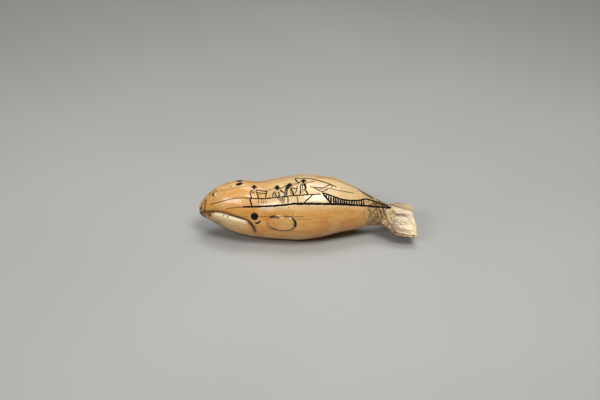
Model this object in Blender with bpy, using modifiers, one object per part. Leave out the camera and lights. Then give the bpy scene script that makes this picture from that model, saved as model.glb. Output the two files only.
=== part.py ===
"""Scrimshaw whale, carved in the round from one whale tooth and lying on its belly.

The snout points to -X and the flukes to +X. The carving is one solid, and black plugs are let
into it for the eyes and the blowholes. Sizes are in millimetres and become metres on the way out.
"""

import math

import bmesh
import bpy
from mathutils import Matrix, Vector

MM = 0.001

# Overall sizes of the carving
LENGTH = 115.0
BODY_HEIGHT = 34.8
BODY_WIDTH = 34.8
FLUKE_SPAN = 27.6

# How the solid is divided: (share of the length where the run ends, rings in the run)
RING_RUNS = ((0.012, 4), (0.27, 20), (0.80, 22), (0.885, 11), (0.985, 9), (1.0, 4))
COLUMNS = 48

# Side view, as (share of the length, share of the body's height)
BACK_LINE = (
    (0.000, 0.530), (0.012, 0.595), (0.050, 0.740), (0.097, 0.848), (0.152, 0.910),
    (0.204, 0.928), (0.280, 0.898), (0.371, 0.950), (0.490, 1.000), (0.570, 0.984),
    (0.647, 0.943), (0.709, 0.846), (0.775, 0.716), (0.830, 0.606), (0.870, 0.535),
    (0.910, 0.475), (0.965, 0.410), (1.000, 0.375),
)
BELLY_LINE = (
    (0.000, 0.385), (0.012, 0.345), (0.050, 0.298), (0.097, 0.215), (0.152, 0.132),
    (0.204, 0.086), (0.280, 0.040), (0.371, 0.010), (0.450, 0.000), (0.555, 0.036),
    (0.647, 0.104), (0.740, 0.156), (0.805, 0.193), (0.860, 0.195), (0.900, 0.240),
    (0.950, 0.315), (1.000, 0.320),
)
# Height of the widest point, as a share of the way from belly to back
SIDE_LINE = ((0.0, 0.50), (0.84, 0.50), (0.90, 0.56), (0.96, 0.50), (1.0, 0.50))

# Plan view, as (share of the length, share of half the body's width)
WIDTH_LINE = (
    (0.000, 0.100), (0.012, 0.160), (0.050, 0.345), (0.097, 0.540), (0.152, 0.690),
    (0.204, 0.785), (0.280, 0.850), (0.371, 0.935), (0.470, 1.000), (0.570, 0.945),
    (0.647, 0.800), (0.709, 0.655), (0.775, 0.470), (0.830, 0.375), (0.870, 0.360),
)
# The flukes, as (share of the length, share of half the fluke span)
FLUKE_LINE = (
    (0.770, 0.000), (0.815, 0.440), (0.838, 0.560), (0.860, 0.680), (0.880, 0.735),
    (0.896, 0.810), (0.915, 0.925), (0.950, 0.985), (1.000, 1.000),
)
# The tail stock runs on over the flukes as a ridge, as (share of the length, share of half the span)
RIDGE_LINE = (
    (0.815, 0.440), (0.860, 0.620), (0.880, 0.600), (0.900, 0.480), (0.930, 0.340),
    (0.960, 0.260), (1.000, 0.220),
)

# How far a section narrows towards its crown
CROWN_LINE = ((0.0, 0.25), (0.15, 0.22), (0.20, 0.20), (0.30, 0.12), (0.37, 0.06), (1.0, 0.03))

# Flukes
FLUKE_THICKNESS = 3.4
FLUKE_BLUNTNESS = 0.35
FLUKE_DROOP = 17.0
FLUKE_TWIST = 7.0
FLUKE_ROOT = 0.82
FLUKE_SPREAD = 0.90
DROOP_ROUNDING = 2.0
LEFT_TIP_SWEEP = 1.5
LEFT_SWEEP_POWER = 2.6
RIGHT_TIP_SWEEP = 1.35
RIGHT_TIP_CUT = 2.0
RIGHT_CUT_POWER = 6.0
SWEEP_START = 0.89
TRAILING_ROUNDING = 1.4
TRAILING_FLAT = 0.3
CORNER_ROUNDING = 0.08
# The top of each fluke is dished: depth, then where the hollow eases in and out along and across it
DISH_DEPTH = 0.6
DISH_RUN = ((0.890, 0.930), (0.965, 0.992))
DISH_ACROSS = ((0.22, 0.45), (0.74, 0.93))

# Snout: the front is a narrow flat band with a rounded rim
SNOUT_ROUNDING = 0.012
SNOUT_FLAT = 0.55

# Every gouge cut tapers to this share of its width, over this many of its points
GROOVE_END = 0.35
GROOVE_TAPER = 4

# Mouth, as (share of the length, degrees above the side of the section)
MOUTH_LINE = (
    (0.006, -17.0), (0.050, -3.0), (0.098, 5.0), (0.155, 3.5), (0.198, 1.5),
    (0.228, -0.8), (0.246, -7.0), (0.258, -16.0), (0.266, -32.0),
)
# The columns of the loft follow the mouth, and behind it they ease back to the side of the section
MOUTH_RETURN = ((0.298, -35.0), (0.375, 0.0))
COLUMN_BUNCHING = 0.26
BUNCHING_END = (0.70, 0.85)
MOUTH_GROOVE = 0.8
MOUTH_STEPS = 30
MOUTH_STEP_POWER = 1.7
LIP_RISE = 0.75
LIP_EDGE = 1.3
LIP_DEPTH = 8.0
LIP_RUN = ((0.01, 0.06), (0.205, 0.262))

# Flippers, in low relief on both sides
FLIPPER_AT = 0.388
FLIPPER_TILT = -0.5
FLIPPER_LENGTH = 13.4
FLIPPER_WIDTH = 8.4
FLIPPER_RISE = 0.75
FLIPPER_EDGE = 0.22
FLIPPER_FRONT = 0.35
FLIPPER_GROOVE = 0.7
FLIPPER_ROUNDNESS = 2.6
FLIPPER_ARC = (-118.0, 100.0)
FLIPPER_STEPS = 20

# Grooves that part the tail's ridge from the flukes
TAIL_GROOVE = 0.8
TAIL_GROOVE_RUN = (0.905, 0.978)
TAIL_GROOVE_SPREAD = (0.30, 0.19)
TAIL_GROOVE_STEPS = 10

# Inlays
CLEARANCE = 0.3
SOCKET_REACH = 2.0
EYE_AT = 0.261
EYE_TILT = 11.5
EYE_DIAMETER = 3.7
EYE_DEPTH = 2.0
EYE_DOME = 0.5
EYE_DOME_STEPS = 4
BLOWHOLE_AT = 0.190
BLOWHOLE_SPACING = 3.2
BLOWHOLE_LENGTH = 3.5
BLOWHOLE_WIDTH = 1.9
BLOWHOLE_DEPTH = 1.6
BLOWHOLE_RISE = 0.15
BLOWHOLE_YAW = 16.0
PLUG_SIDES = 20
PLUG_ROUNDING = 0.15

# Flat spot that the carving lies on
FLAT_DEPTH = 0.45

IVORY = (0.80, 0.58, 0.33, 1.0)
BLACK_INLAY = (0.012, 0.010, 0.010, 1.0)


def profile(line, along):
    """Value at a place along a smooth curve through the line's points, which doesn't overshoot them."""
    if along <= line[0][0]:
        return line[0][1]
    if along >= line[-1][0]:
        return line[-1][1]
    steps = [b[0] - a[0] for a, b in zip(line, line[1:])]
    rises = [(b[1] - a[1]) / step for a, b, step in zip(line, line[1:], steps)]
    slopes = [rises[0]]
    for before, after in zip(rises, rises[1:]):
        slopes.append(2 * before * after / (before + after) if before * after > 0 else 0.0)
    slopes.append(rises[-1])
    at = max(i for i, point in enumerate(line[:-1]) if point[0] <= along)
    step = steps[at]
    u = (along - line[at][0]) / step
    start = line[at][1] * (1 + 2 * u) * (1 - u) ** 2 + slopes[at] * step * u * (1 - u) ** 2
    end = line[at + 1][1] * u * u * (3 - 2 * u) + slopes[at + 1] * step * u * u * (u - 1)
    return start + end


def ease(value, low, high):
    """0 below low, 1 above high and a smooth step between them."""
    u = min(1.0, max(0.0, (value - low) / (high - low)))
    return u * u * (3 - 2 * u)


def rounding(distance, radius):
    """Share of its full size that an end with a rounded rim has, this far in from the end."""
    return math.sqrt(1 - (1 - min(1.0, max(0.0, distance / radius))) ** 2)


def tip_sweep(out):
    """How far back the trailing edge runs, for a share of half the span that is negative on the left."""
    share = min(1.0, abs(out))
    if out < 0:
        return LEFT_TIP_SWEEP * (1 - (1 - share) ** LEFT_SWEEP_POWER)
    return RIGHT_TIP_SWEEP * share - RIGHT_TIP_CUT * share**RIGHT_CUT_POWER


def bare_point(along, angle):
    """Point on the body before its relief. The angle is 0 on the right side, and 90 degrees on the back."""
    back = profile(BACK_LINE, along) * BODY_HEIGHT
    belly = profile(BELLY_LINE, along) * BODY_HEIGHT
    middle = belly + (back - belly) * profile(SIDE_LINE, along)
    body = profile(WIDTH_LINE, along) * BODY_WIDTH / 2
    flukes = profile(FLUKE_LINE, along) * FLUKE_SPAN / 2
    spread = ease(along, FLUKE_ROOT, FLUKE_SPREAD)
    half_width = max(body, flukes)
    ridge = min(half_width, body + (profile(RIDGE_LINE, along) * FLUKE_SPAN / 2 - body) * spread)

    sideways, upward = math.cos(angle), math.sin(angle)
    reach = (back - middle) if upward > 0 else (middle - belly)
    core = reach * max(0.0, 1 - (sideways * half_width / ridge) ** 2) ** (0.5 + spread)
    plate = spread * FLUKE_THICKNESS / 2 * abs(upward) ** FLUKE_BLUNTNESS
    height = math.hypot(core, plate)

    from_end = (1 - along) * LENGTH
    trailing = rounding(from_end, TRAILING_ROUNDING) if along > FLUKE_SPREAD else 1.0
    snout = SNOUT_FLAT + (1 - SNOUT_FLAT) * rounding(along, SNOUT_ROUNDING)
    y = half_width * sideways * (1 - profile(CROWN_LINE, along) * upward)
    y *= snout * (1 - CORNER_ROUNDING * (1 - trailing))
    z = middle + math.copysign(height, upward) * snout * max(TRAILING_FLAT, trailing)

    droop = math.tan(math.radians(FLUKE_DROOP)) * (math.hypot(y, DROOP_ROUNDING) - DROOP_ROUNDING)
    z += spread * (math.tan(math.radians(FLUKE_TWIST)) * y - droop)
    x = (LENGTH - LEFT_TIP_SWEEP) * along - LENGTH / 2
    x += ease(along, SWEEP_START, 1.0) * tip_sweep(2 * y / FLUKE_SPAN)
    return Vector((x, y, z))


def outward(along, angle):
    """Unit vector that points out of the body."""
    nudge = 0.002
    inside = min(max(along, 0.01), 0.98)
    lengthways = bare_point(inside + nudge, angle) - bare_point(inside - nudge, angle)
    around = bare_point(inside, angle + nudge) - bare_point(inside, angle - nudge)
    return around.cross(lengthways).normalized()


def tilt_of(angle):
    """Degrees above the side of the section, the same on both sides."""
    return math.degrees(math.asin(max(-1.0, min(1.0, math.sin(angle)))))


def section_radius(along):
    """Half the mean width of the section, which turns angles into distances along the skin."""
    height = (profile(BACK_LINE, along) - profile(BELLY_LINE, along)) * BODY_HEIGHT
    return (height + profile(WIDTH_LINE, along) * BODY_WIDTH) / 4


def lip_relief(along, angle):
    """Lower lip, which stands out from the upper jaw just under the mouth."""
    below = math.radians(profile(MOUTH_LINE, along) - tilt_of(angle)) * section_radius(along)
    window = ease(along, *LIP_RUN[0]) * (1 - ease(along, *LIP_RUN[1]))
    return LIP_RISE * window * ease(below, 0.0, LIP_EDGE) * (1 - ease(below, LIP_EDGE, LIP_DEPTH))


def flipper_place(along, angle):
    """Place on the flipper as shares of its half length and half width, 0 and 0 in its middle."""
    across = math.radians(tilt_of(angle) - FLIPPER_TILT) * section_radius(along)
    return (along - FLIPPER_AT) * LENGTH / (FLIPPER_LENGTH / 2), across / (FLIPPER_WIDTH / 2)


def flipper_relief(along, angle):
    """Low pad with a steep rim at its rear that dies away towards its front."""
    rearward, across = flipper_place(along, angle)
    reach = abs(rearward) ** FLIPPER_ROUNDNESS + abs(across) ** FLIPPER_ROUNDNESS
    reach = reach ** (1 / FLIPPER_ROUNDNESS)
    fade = FLIPPER_FRONT + (1 - FLIPPER_FRONT) * ease(rearward, -1.0, 0.2)
    return FLIPPER_RISE * fade * (1 - ease(reach, 1 - FLIPPER_EDGE, 1 + FLIPPER_EDGE))


def dish_relief(along, angle):
    """Hollow in the top of each fluke, which leaves a rim round it."""
    across = abs(math.cos(angle))
    share = ease(across, *DISH_ACROSS[0]) * (1 - ease(across, *DISH_ACROSS[1]))
    share *= ease(along, *DISH_RUN[0]) * (1 - ease(along, *DISH_RUN[1]))
    return -DISH_DEPTH * share if math.sin(angle) > 0 else 0.0


def skin_point(along, angle):
    """Point on the finished skin."""
    raised = lip_relief(along, angle) + flipper_relief(along, angle) + dish_relief(along, angle)
    return bare_point(along, angle) + outward(along, angle) * raised


def side_angle(tilt, side):
    """Angle round the section of a place so many degrees above the side. Side is -1 on the left."""
    return math.radians(tilt) if side > 0 else math.pi - math.radians(tilt)


def new_collection(name):
    made = bpy.data.collections.new(name)
    bpy.context.scene.collection.children.link(made)
    return made


def new_material(name, colour, roughness):
    made = bpy.data.materials.new(name)
    made.use_nodes = True
    shader = made.node_tree.nodes["Principled BSDF"]
    shader.inputs["Base Color"].default_value = colour
    shader.inputs["Roughness"].default_value = roughness
    shader.inputs["Metallic"].default_value = 0.0
    made.diffuse_color = colour
    return made


def new_object(name, data, collection, material=None):
    made = bpy.data.objects.new(name, data)
    collection.objects.link(made)
    if material:
        data.materials.append(material)
    return made


def mesh_from(bm, name, sharp_degrees=35.0):
    bmesh.ops.recalc_face_normals(bm, faces=bm.faces)
    mesh = bpy.data.meshes.new(name)
    bm.to_mesh(mesh)
    bm.free()
    mesh.shade_smooth()
    mesh.set_sharp_from_angle(angle=math.radians(sharp_degrees))
    return mesh


def mark_cutter(made):
    made.hide_render = True
    made.display_type = "WIRE"
    return made


def cut(target, cutter):
    modifier = target.modifiers.new(cutter.name, "BOOLEAN")
    modifier.operation = "DIFFERENCE"
    modifier.solver = "EXACT"
    modifier.object = cutter


def ring_places():
    """Shares of the length at which the loft has a ring."""
    places = [0.0]
    for end, rings in RING_RUNS:
        start = places[-1]
        places += [start + (end - start) * step / rings for step in range(1, rings + 1)]
    return places


def close_end(bm, ring):
    """Closes an end with a strip of faces from the upper half of its ring to the lower half."""
    half = COLUMNS // 2
    for column in range(half):
        low, next_low = -column % COLUMNS, -(column + 1) % COLUMNS
        corners = [ring[column], ring[column + 1], ring[next_low], ring[low]]
        bm.faces.new(list(dict.fromkeys(corners)))


def column_angle(along, column):
    """Angle of a column, which lie closer on the sides of the head and body than on the back."""
    base = 2 * math.pi * column / COLUMNS
    bunching = COLUMN_BUNCHING * (1 - ease(along, *BUNCHING_END))
    follow = math.radians(profile(MOUTH_LINE + MOUTH_RETURN, along))
    tilt = base - bunching * math.sin(2 * base)
    return tilt + follow * math.cos(tilt) * abs(math.cos(tilt))


def body_mesh():
    """Loft through the sections from the snout to the trailing edge of the flukes."""
    bm = bmesh.new()
    rings = []
    for along in ring_places():
        angles = [column_angle(along, column) for column in range(COLUMNS)]
        rings.append([bm.verts.new(skin_point(along, angle) * MM) for angle in angles])
    for ring, after in zip(rings, rings[1:]):
        for column in range(COLUMNS):
            right = (column + 1) % COLUMNS
            bm.faces.new((ring[column], ring[right], after[right], after[column]))
    close_end(bm, rings[0])
    close_end(bm, rings[-1])
    return mesh_from(bm, "ivory_whale")


def groove_cutter(name, points, width, collection):
    """Gouge cut along the skin, half its width deep and tapered at both ends."""
    curve = bpy.data.curves.new(name, "CURVE")
    curve.dimensions = "3D"
    curve.bevel_depth = width / 2 * MM
    curve.bevel_resolution = 1
    curve.use_fill_caps = True
    spline = curve.splines.new("POLY")
    spline.points.add(len(points) - 1)
    for i, (point, place) in enumerate(zip(spline.points, points)):
        from_end = min(i, len(points) - 1 - i)
        point.co = (*(place * MM), 1.0)
        point.radius = GROOVE_END + (1 - GROOVE_END) * ease(from_end, 0, GROOVE_TAPER)
    draft = new_object(name + "_path", curve, collection)
    graph = bpy.context.evaluated_depsgraph_get()
    mesh = bpy.data.meshes.new_from_object(draft.evaluated_get(graph))
    bm = bmesh.new()
    bm.from_mesh(mesh)
    bmesh.ops.remove_doubles(bm, verts=bm.verts, dist=0.01 * MM)
    bmesh.ops.recalc_face_normals(bm, faces=bm.faces)
    bm.to_mesh(mesh)
    bm.free()
    made = mark_cutter(new_object(name, mesh, collection))
    made.matrix_world = draft.matrix_world.copy()
    bpy.data.objects.remove(draft)
    return made


def mouth_side(side):
    """Mouth from the front of the snout to its corner, on one side."""
    start, end = MOUTH_LINE[0][0], MOUTH_LINE[-1][0]
    points = []
    for step in range(MOUTH_STEPS + 1):
        share = step / MOUTH_STEPS
        along = start + (end - start) * (1 - (1 - share) ** MOUTH_STEP_POWER)
        points.append(skin_point(along, side_angle(profile(MOUTH_LINE, along), side)))
    return points


def mouth_points():
    """Whole mouth, from the left corner across the front of the snout to the right corner."""
    tilt = MOUTH_LINE[0][1]
    left, right = (skin_point(0.0, side_angle(tilt, side)) for side in (-1, 1))
    return mouth_side(-1)[::-1] + [(left + right) / 2] + mouth_side(1)


def flipper_points(side):
    """Outline of the flipper, round its top, rear and underside."""
    first, last = FLIPPER_ARC
    points = []
    for step in range(FLIPPER_STEPS + 1):
        turn = math.radians(first + (last - first) * step / FLIPPER_STEPS)
        power = 2 / FLIPPER_ROUNDNESS
        forward = math.copysign(abs(math.cos(turn)) ** power, math.cos(turn))
        across = math.copysign(abs(math.sin(turn)) ** power, math.sin(turn))
        along = FLIPPER_AT + forward * FLIPPER_LENGTH / 2 / LENGTH
        tilt = FLIPPER_TILT + math.degrees(across * FLIPPER_WIDTH / 2 / section_radius(along))
        points.append(skin_point(along, side_angle(tilt, side)))
    return points


def tail_groove_points(side):
    """Line beside the tail's ridge, which spreads a little towards the trailing edge."""
    points = []
    for step in range(TAIL_GROOVE_STEPS + 1):
        share = step / TAIL_GROOVE_STEPS
        along = TAIL_GROOVE_RUN[0] + (TAIL_GROOVE_RUN[1] - TAIL_GROOVE_RUN[0]) * share
        out = TAIL_GROOVE_SPREAD[0] + (TAIL_GROOVE_SPREAD[1] - TAIL_GROOVE_SPREAD[0]) * share
        points.append(skin_point(along, math.acos(out * side)))
    return points


def standing_frame(along, angle, yaw=0.0):
    """Matrix that puts an upright thing on the skin, with its local X along the body."""
    up = outward(along, angle)
    across = up.cross(Vector((1.0, 0.0, 0.0))).normalized()
    forward = across.cross(up)
    turn = Matrix((forward, across, up)).transposed().to_4x4()
    place = Matrix.Translation(skin_point(along, angle) * MM)
    return place @ turn @ Matrix.Rotation(math.radians(yaw), 4, "Z")


def eye_mesh():
    """Round plug with a shallow dome, turned from its profile."""
    radius, depth, dome = EYE_DIAMETER / 2 * MM, EYE_DEPTH * MM, EYE_DOME * MM
    outline = []
    for step in range(EYE_DOME_STEPS + 1):
        turn = math.pi / 2 * step / EYE_DOME_STEPS
        outline.append((radius * math.sin(turn), dome * math.cos(turn)))
    outline += [(radius, -depth), (0.0, -depth)]
    bm = bmesh.new()
    corners = [bm.verts.new((x, 0.0, z)) for x, z in outline]
    for start, end in zip(corners, corners[1:]):
        bm.edges.new((start, end))
    mesh = bpy.data.meshes.new("eye_inlay")
    bm.to_mesh(mesh)
    bm.free()
    return mesh


def add_screw(made):
    screw = made.modifiers.new("turned", "SCREW")
    screw.axis = "Z"
    screw.steps = PLUG_SIDES
    screw.render_steps = PLUG_SIDES
    screw.use_merge_vertices = True
    screw.merge_threshold = 0.00005
    screw.use_smooth_shade = True


def oval_mesh(name, length, width, depth, rise, rounded):
    """Upright oval plug, or the cutter of its socket."""
    bm = bmesh.new()
    bmesh.ops.create_cone(
        bm, cap_ends=True, segments=PLUG_SIDES, radius1=0.5, radius2=0.5, depth=1.0
    )
    size = Matrix.Diagonal((length * MM, width * MM, (depth + rise) * MM, 1.0))
    bmesh.ops.transform(bm, matrix=size, verts=bm.verts)
    bmesh.ops.translate(bm, vec=(0.0, 0.0, (rise - depth) / 2 * MM), verts=bm.verts)
    if rounded:
        top = max(vert.co.z for vert in bm.verts)
        rim = [edge for edge in bm.edges if min(vert.co.z for vert in edge.verts) > top - 0.01 * MM]
        bmesh.ops.bevel(bm, geom=rim, offset=PLUG_ROUNDING * MM, segments=2, affect="EDGES", profile=0.5)
    return mesh_from(bm, name)


def blowhole_place(side):
    """Where a blowhole sits: its share of the length and its angle round the section."""
    half_width = profile(WIDTH_LINE, BLOWHOLE_AT) * BODY_WIDTH / 2
    crown = half_width * (1 - profile(CROWN_LINE, BLOWHOLE_AT))
    return BLOWHOLE_AT, math.acos(side * BLOWHOLE_SPACING / 2 / crown)


def make_body(whale, cutters, ivory):
    body = new_object("ivory_whale", body_mesh(), whale, ivory)
    cut(body, groove_cutter("mouth_gouge", mouth_points(), MOUTH_GROOVE, cutters))
    for name, side in (("left", -1), ("right", 1)):
        flipper = groove_cutter("flipper_gouge_" + name, flipper_points(side), FLIPPER_GROOVE, cutters)
        cut(body, flipper)
        ridge = groove_cutter("tail_gouge_" + name, tail_groove_points(side), TAIL_GROOVE, cutters)
        cut(body, ridge)
    return body


def make_eyes(body, whale, cutters, black):
    plug = eye_mesh()
    socket_size = EYE_DIAMETER + 2 * CLEARANCE
    depth = EYE_DEPTH + CLEARANCE
    socket = oval_mesh("eye_socket", socket_size, socket_size, depth, SOCKET_REACH, False)
    for name, side in (("left", -1), ("right", 1)):
        place = standing_frame(EYE_AT, side_angle(EYE_TILT, side))
        eye = new_object("eye_inlay_" + name, plug, whale)
        eye.matrix_world = place
        add_screw(eye)
        cutter = mark_cutter(new_object("eye_socket_" + name, socket, cutters))
        cutter.matrix_world = place
        cut(body, cutter)
    plug.materials.append(black)


def make_blowholes(body, whale, cutters, black):
    plug = oval_mesh(
        "blowhole_inlay", BLOWHOLE_LENGTH, BLOWHOLE_WIDTH, BLOWHOLE_DEPTH, BLOWHOLE_RISE, True
    )
    socket = oval_mesh(
        "blowhole_socket", BLOWHOLE_LENGTH + 2 * CLEARANCE, BLOWHOLE_WIDTH + 2 * CLEARANCE,
        BLOWHOLE_DEPTH + CLEARANCE, SOCKET_REACH, False,
    )
    for name, side in (("left", -1), ("right", 1)):
        place = standing_frame(*blowhole_place(side), yaw=-side * BLOWHOLE_YAW)
        blowhole = new_object("blowhole_inlay_" + name, plug, whale)
        blowhole.matrix_world = place
        cutter = mark_cutter(new_object("blowhole_socket_" + name, socket, cutters))
        cutter.matrix_world = place
        cut(body, cutter)
    plug.materials.append(black)


def flatten_belly(body, cutters):
    """Takes a thin slice off the belly, so that the carving lies still."""
    bm = bmesh.new()
    bmesh.ops.create_cube(bm, size=1.0)
    size = Matrix.Diagonal((2 * LENGTH * MM, 2 * BODY_WIDTH * MM, BODY_HEIGHT * MM, 1.0))
    bmesh.ops.transform(bm, matrix=size, verts=bm.verts)
    bmesh.ops.translate(bm, vec=(0.0, 0.0, -BODY_HEIGHT / 2 * MM), verts=bm.verts)
    slab = mark_cutter(new_object("belly_slice", mesh_from(bm, "belly_slice"), cutters))
    cut(body, slab)


def main():
    for leftover in list(bpy.data.objects):
        bpy.data.objects.remove(leftover)
    whale = new_collection("scrimshaw_whale")
    cutters = new_collection("cutters")
    ivory = new_material("ivory", IVORY, 0.35)
    black = new_material("black_inlay", BLACK_INLAY, 0.25)

    body = make_body(whale, cutters, ivory)
    make_eyes(body, whale, cutters, black)
    make_blowholes(body, whale, cutters, black)
    for made in list(whale.objects) + list(cutters.objects):
        made.location.z -= FLAT_DEPTH * MM
    flatten_belly(body, cutters)


main()
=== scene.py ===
"""Looks of the scrimshaw whale: polished tooth, inked engraving, black inlays, light and camera.

The skin is worked out from the same named sizes as the solid that it stands for, with finer
carving. The shape functions work in millimetres, and meshes are made in metres.
"""

import math

import bpy
import numpy as np
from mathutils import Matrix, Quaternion, Vector


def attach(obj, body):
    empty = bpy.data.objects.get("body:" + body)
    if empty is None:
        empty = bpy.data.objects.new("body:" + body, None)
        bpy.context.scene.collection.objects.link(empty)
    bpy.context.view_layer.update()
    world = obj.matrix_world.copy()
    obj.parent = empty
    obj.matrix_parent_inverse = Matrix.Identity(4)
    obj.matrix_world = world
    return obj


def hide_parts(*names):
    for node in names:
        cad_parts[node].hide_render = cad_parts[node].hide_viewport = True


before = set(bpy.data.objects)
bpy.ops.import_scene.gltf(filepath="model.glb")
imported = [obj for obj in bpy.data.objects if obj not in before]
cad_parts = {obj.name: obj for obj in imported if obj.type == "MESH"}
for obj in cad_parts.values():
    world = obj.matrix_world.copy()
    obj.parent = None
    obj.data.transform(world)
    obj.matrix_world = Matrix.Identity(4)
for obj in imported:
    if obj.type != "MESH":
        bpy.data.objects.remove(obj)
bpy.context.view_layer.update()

MM = 0.001

# Overall sizes of the carving
LENGTH = 115.0
BODY_HEIGHT = 34.8
BODY_WIDTH = 34.8
FLUKE_SPAN = 27.6
FLAT_DEPTH = 0.45

# Lines of the body, as (share of the length, share of the height or of half the width)
BACK_LINE = (
    (0, 0.53), (0.012, 0.595), (0.05, 0.74), (0.097, 0.848), (0.152, 0.91),
    (0.204, 0.928), (0.28, 0.898), (0.371, 0.95), (0.49, 1), (0.57, 0.984),
    (0.647, 0.943), (0.709, 0.846), (0.775, 0.716), (0.83, 0.606), (0.87, 0.535),
    (0.91, 0.475), (0.965, 0.41), (1, 0.375),
)
BELLY_LINE = (
    (0, 0.385), (0.012, 0.345), (0.05, 0.298), (0.097, 0.215), (0.152, 0.132),
    (0.204, 0.086), (0.28, 0.04), (0.371, 0.01), (0.45, 0), (0.555, 0.036),
    (0.647, 0.104), (0.74, 0.156), (0.805, 0.193), (0.86, 0.195), (0.9, 0.24),
    (0.95, 0.315), (1, 0.32),
)
SIDE_LINE = ((0.0, 0.50), (0.84, 0.50), (0.90, 0.56), (0.96, 0.50), (1.0, 0.50))
WIDTH_LINE = (
    (0, 0.1), (0.012, 0.16), (0.05, 0.345), (0.097, 0.54), (0.152, 0.69),
    (0.204, 0.785), (0.28, 0.85), (0.371, 0.935), (0.47, 1), (0.57, 0.945),
    (0.647, 0.8), (0.709, 0.655), (0.775, 0.47), (0.83, 0.375), (0.87, 0.36),
)
FLUKE_LINE = (
    (0.77, 0), (0.815, 0.44), (0.838, 0.56), (0.86, 0.68), (0.88, 0.735),
    (0.896, 0.81), (0.915, 0.925), (0.95, 0.985), (1, 1),
)
RIDGE_LINE = (
    (0.815, 0.44), (0.86, 0.62), (0.88, 0.6), (0.9, 0.48), (0.93, 0.34),
    (0.96, 0.26), (1, 0.22),
)
CROWN_LINE = ((0.0, 0.25), (0.15, 0.22), (0.20, 0.20), (0.30, 0.12), (0.37, 0.06), (1.0, 0.03))

# Flukes and ends
FLUKE_THICKNESS = 3.4
FLUKE_BLUNTNESS = 0.35
FLUKE_DROOP = 17.0
FLUKE_TWIST = 7.0
FLUKE_ROOT = 0.82
FLUKE_SPREAD = 0.90
DROOP_ROUNDING = 2.0
LEFT_TIP_SWEEP = 1.5
LEFT_SWEEP_POWER = 2.6
RIGHT_TIP_SWEEP = 1.35
RIGHT_TIP_CUT = 2.0
RIGHT_CUT_POWER = 6.0
SWEEP_START = 0.89
TRAILING_ROUNDING = 1.4
TRAILING_FLAT = 0.3
CORNER_ROUNDING = 0.08
DISH_DEPTH = 0.6
DISH_RUN = ((0.890, 0.930), (0.965, 0.992))
DISH_ACROSS = ((0.22, 0.45), (0.74, 0.93))
SNOUT_ROUNDING = 0.012
SNOUT_FLAT = 0.55

# Mouth, lips and flippers, in low relief
MOUTH_LINE = (
    (0.006, -17), (0.05, -3), (0.098, 5), (0.155, 3.5), (0.198, 1.5),
    (0.228, -0.8), (0.246, -7), (0.258, -16), (0.266, -32),
)
MOUTH_RETURN = ((0.298, -35.0), (0.375, 0.0))
LIP_RISE = 0.75
LIP_EDGE = 1.3
LIP_DEPTH = 8.0
LIP_RUN = ((0.01, 0.06), (0.205, 0.262))
FLIPPER_AT = 0.388
FLIPPER_TILT = -0.5
FLIPPER_LENGTH = 13.4
FLIPPER_WIDTH = 8.4
FLIPPER_RISE = 0.75
FLIPPER_EDGE = 0.22
FLIPPER_FRONT = 0.35
FLIPPER_ROUNDNESS = 2.6
FLIPPER_ARC = (-118.0, 100.0)
TAIL_GROOVE_RUN = (0.905, 0.978)
TAIL_GROOVE_SPREAD = (0.30, 0.19)
FLIPPER_SAMPLES = 240
TAIL_GROOVE_SAMPLES = 80

# Gouge cuts, as (half width, depth), their taper between these distances from an end, and their halo
MOUTH_GOUGE = (0.84, 0.50)
FLIPPER_GOUGE = (0.55, 0.30)
TAIL_GOUGE = (0.80, 0.42)
TAPER_START = -0.5
GOUGE_TAPER = 3.0
GOUGE_POWER = 1.5
HALO_WIDTH = 2.3
SAMPLE_SPACING = 0.12

# Paths on the skin are smoothed with so many degrees counted as a millimetre
DEGREES_PER_MM = 4

# Distances from lines are worked out near them alone, for so many points at a time
NEAR_MARGIN = 2.0
FAR_AWAY = 99.0
CHUNK = 2000

# Inlays
EYE_AT = 0.261
EYE_TILT = 11.5
EYE_DIAMETER = 3.7
EYE_DEPTH = 2.0
EYE_DOME = 0.5
BLOWHOLE_AT = 0.190
BLOWHOLE_SPACING = 3.2
BLOWHOLE_LENGTH = 3.5
BLOWHOLE_WIDTH = 1.9
BLOWHOLE_DEPTH = 1.6
BLOWHOLE_RISE = 0.15
BLOWHOLE_YAW = 16.0
BLOWHOLE_RIM = ((0.0, 1.0), (0.5, 1.0), (0.84, 0.95), (0.93, 0.75), (0.98, 0.4))
BLOWHOLE_SHOULDER = -0.05
PLUG_SIDES = 64
DOME_STEPS = 8
PLUG_SHARP_DEGREES = 40.0
SEAM_FILL = 0.15

# Mesh of the skin: (share of the length where the run ends, rings in the run), and columns
RING_RUNS = ((0.012, 10), (0.76, 280), (0.985, 143), (1.0, 16))
COLUMNS = 212
COLUMN_BUNCHING = 0.16
BUNCHING_END = (0.70, 0.85)
SHARP_DEGREES = 55.0

# Hand-made unevenness of the skin: how deep it goes, its waves, and their counts lengthwise and round
UNEVEN_DEPTH = 0.05
UNEVEN_WAVES = 9
UNEVEN_LENGTHWISE = (2.0, 9.0)
UNEVEN_ROUND = 7
UNEVEN_SEED = 11

# Knurled tail stock: short strokes that lie closest at its peak
KNURL_RUN = (0.765, 0.905)
KNURL_PEAK = 0.84
KNURL_SEED = 5
RUN_MARGIN = 0.02
KNURL_STROKES = 1350
KNURL_LENGTH = (0.5, 1.8)
KNURL_WIDTH = (0.16, 0.32)
KNURL_DEPTH = (0.12, 0.32)
KNURL_SLANT = (35.0, 125.0)

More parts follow.
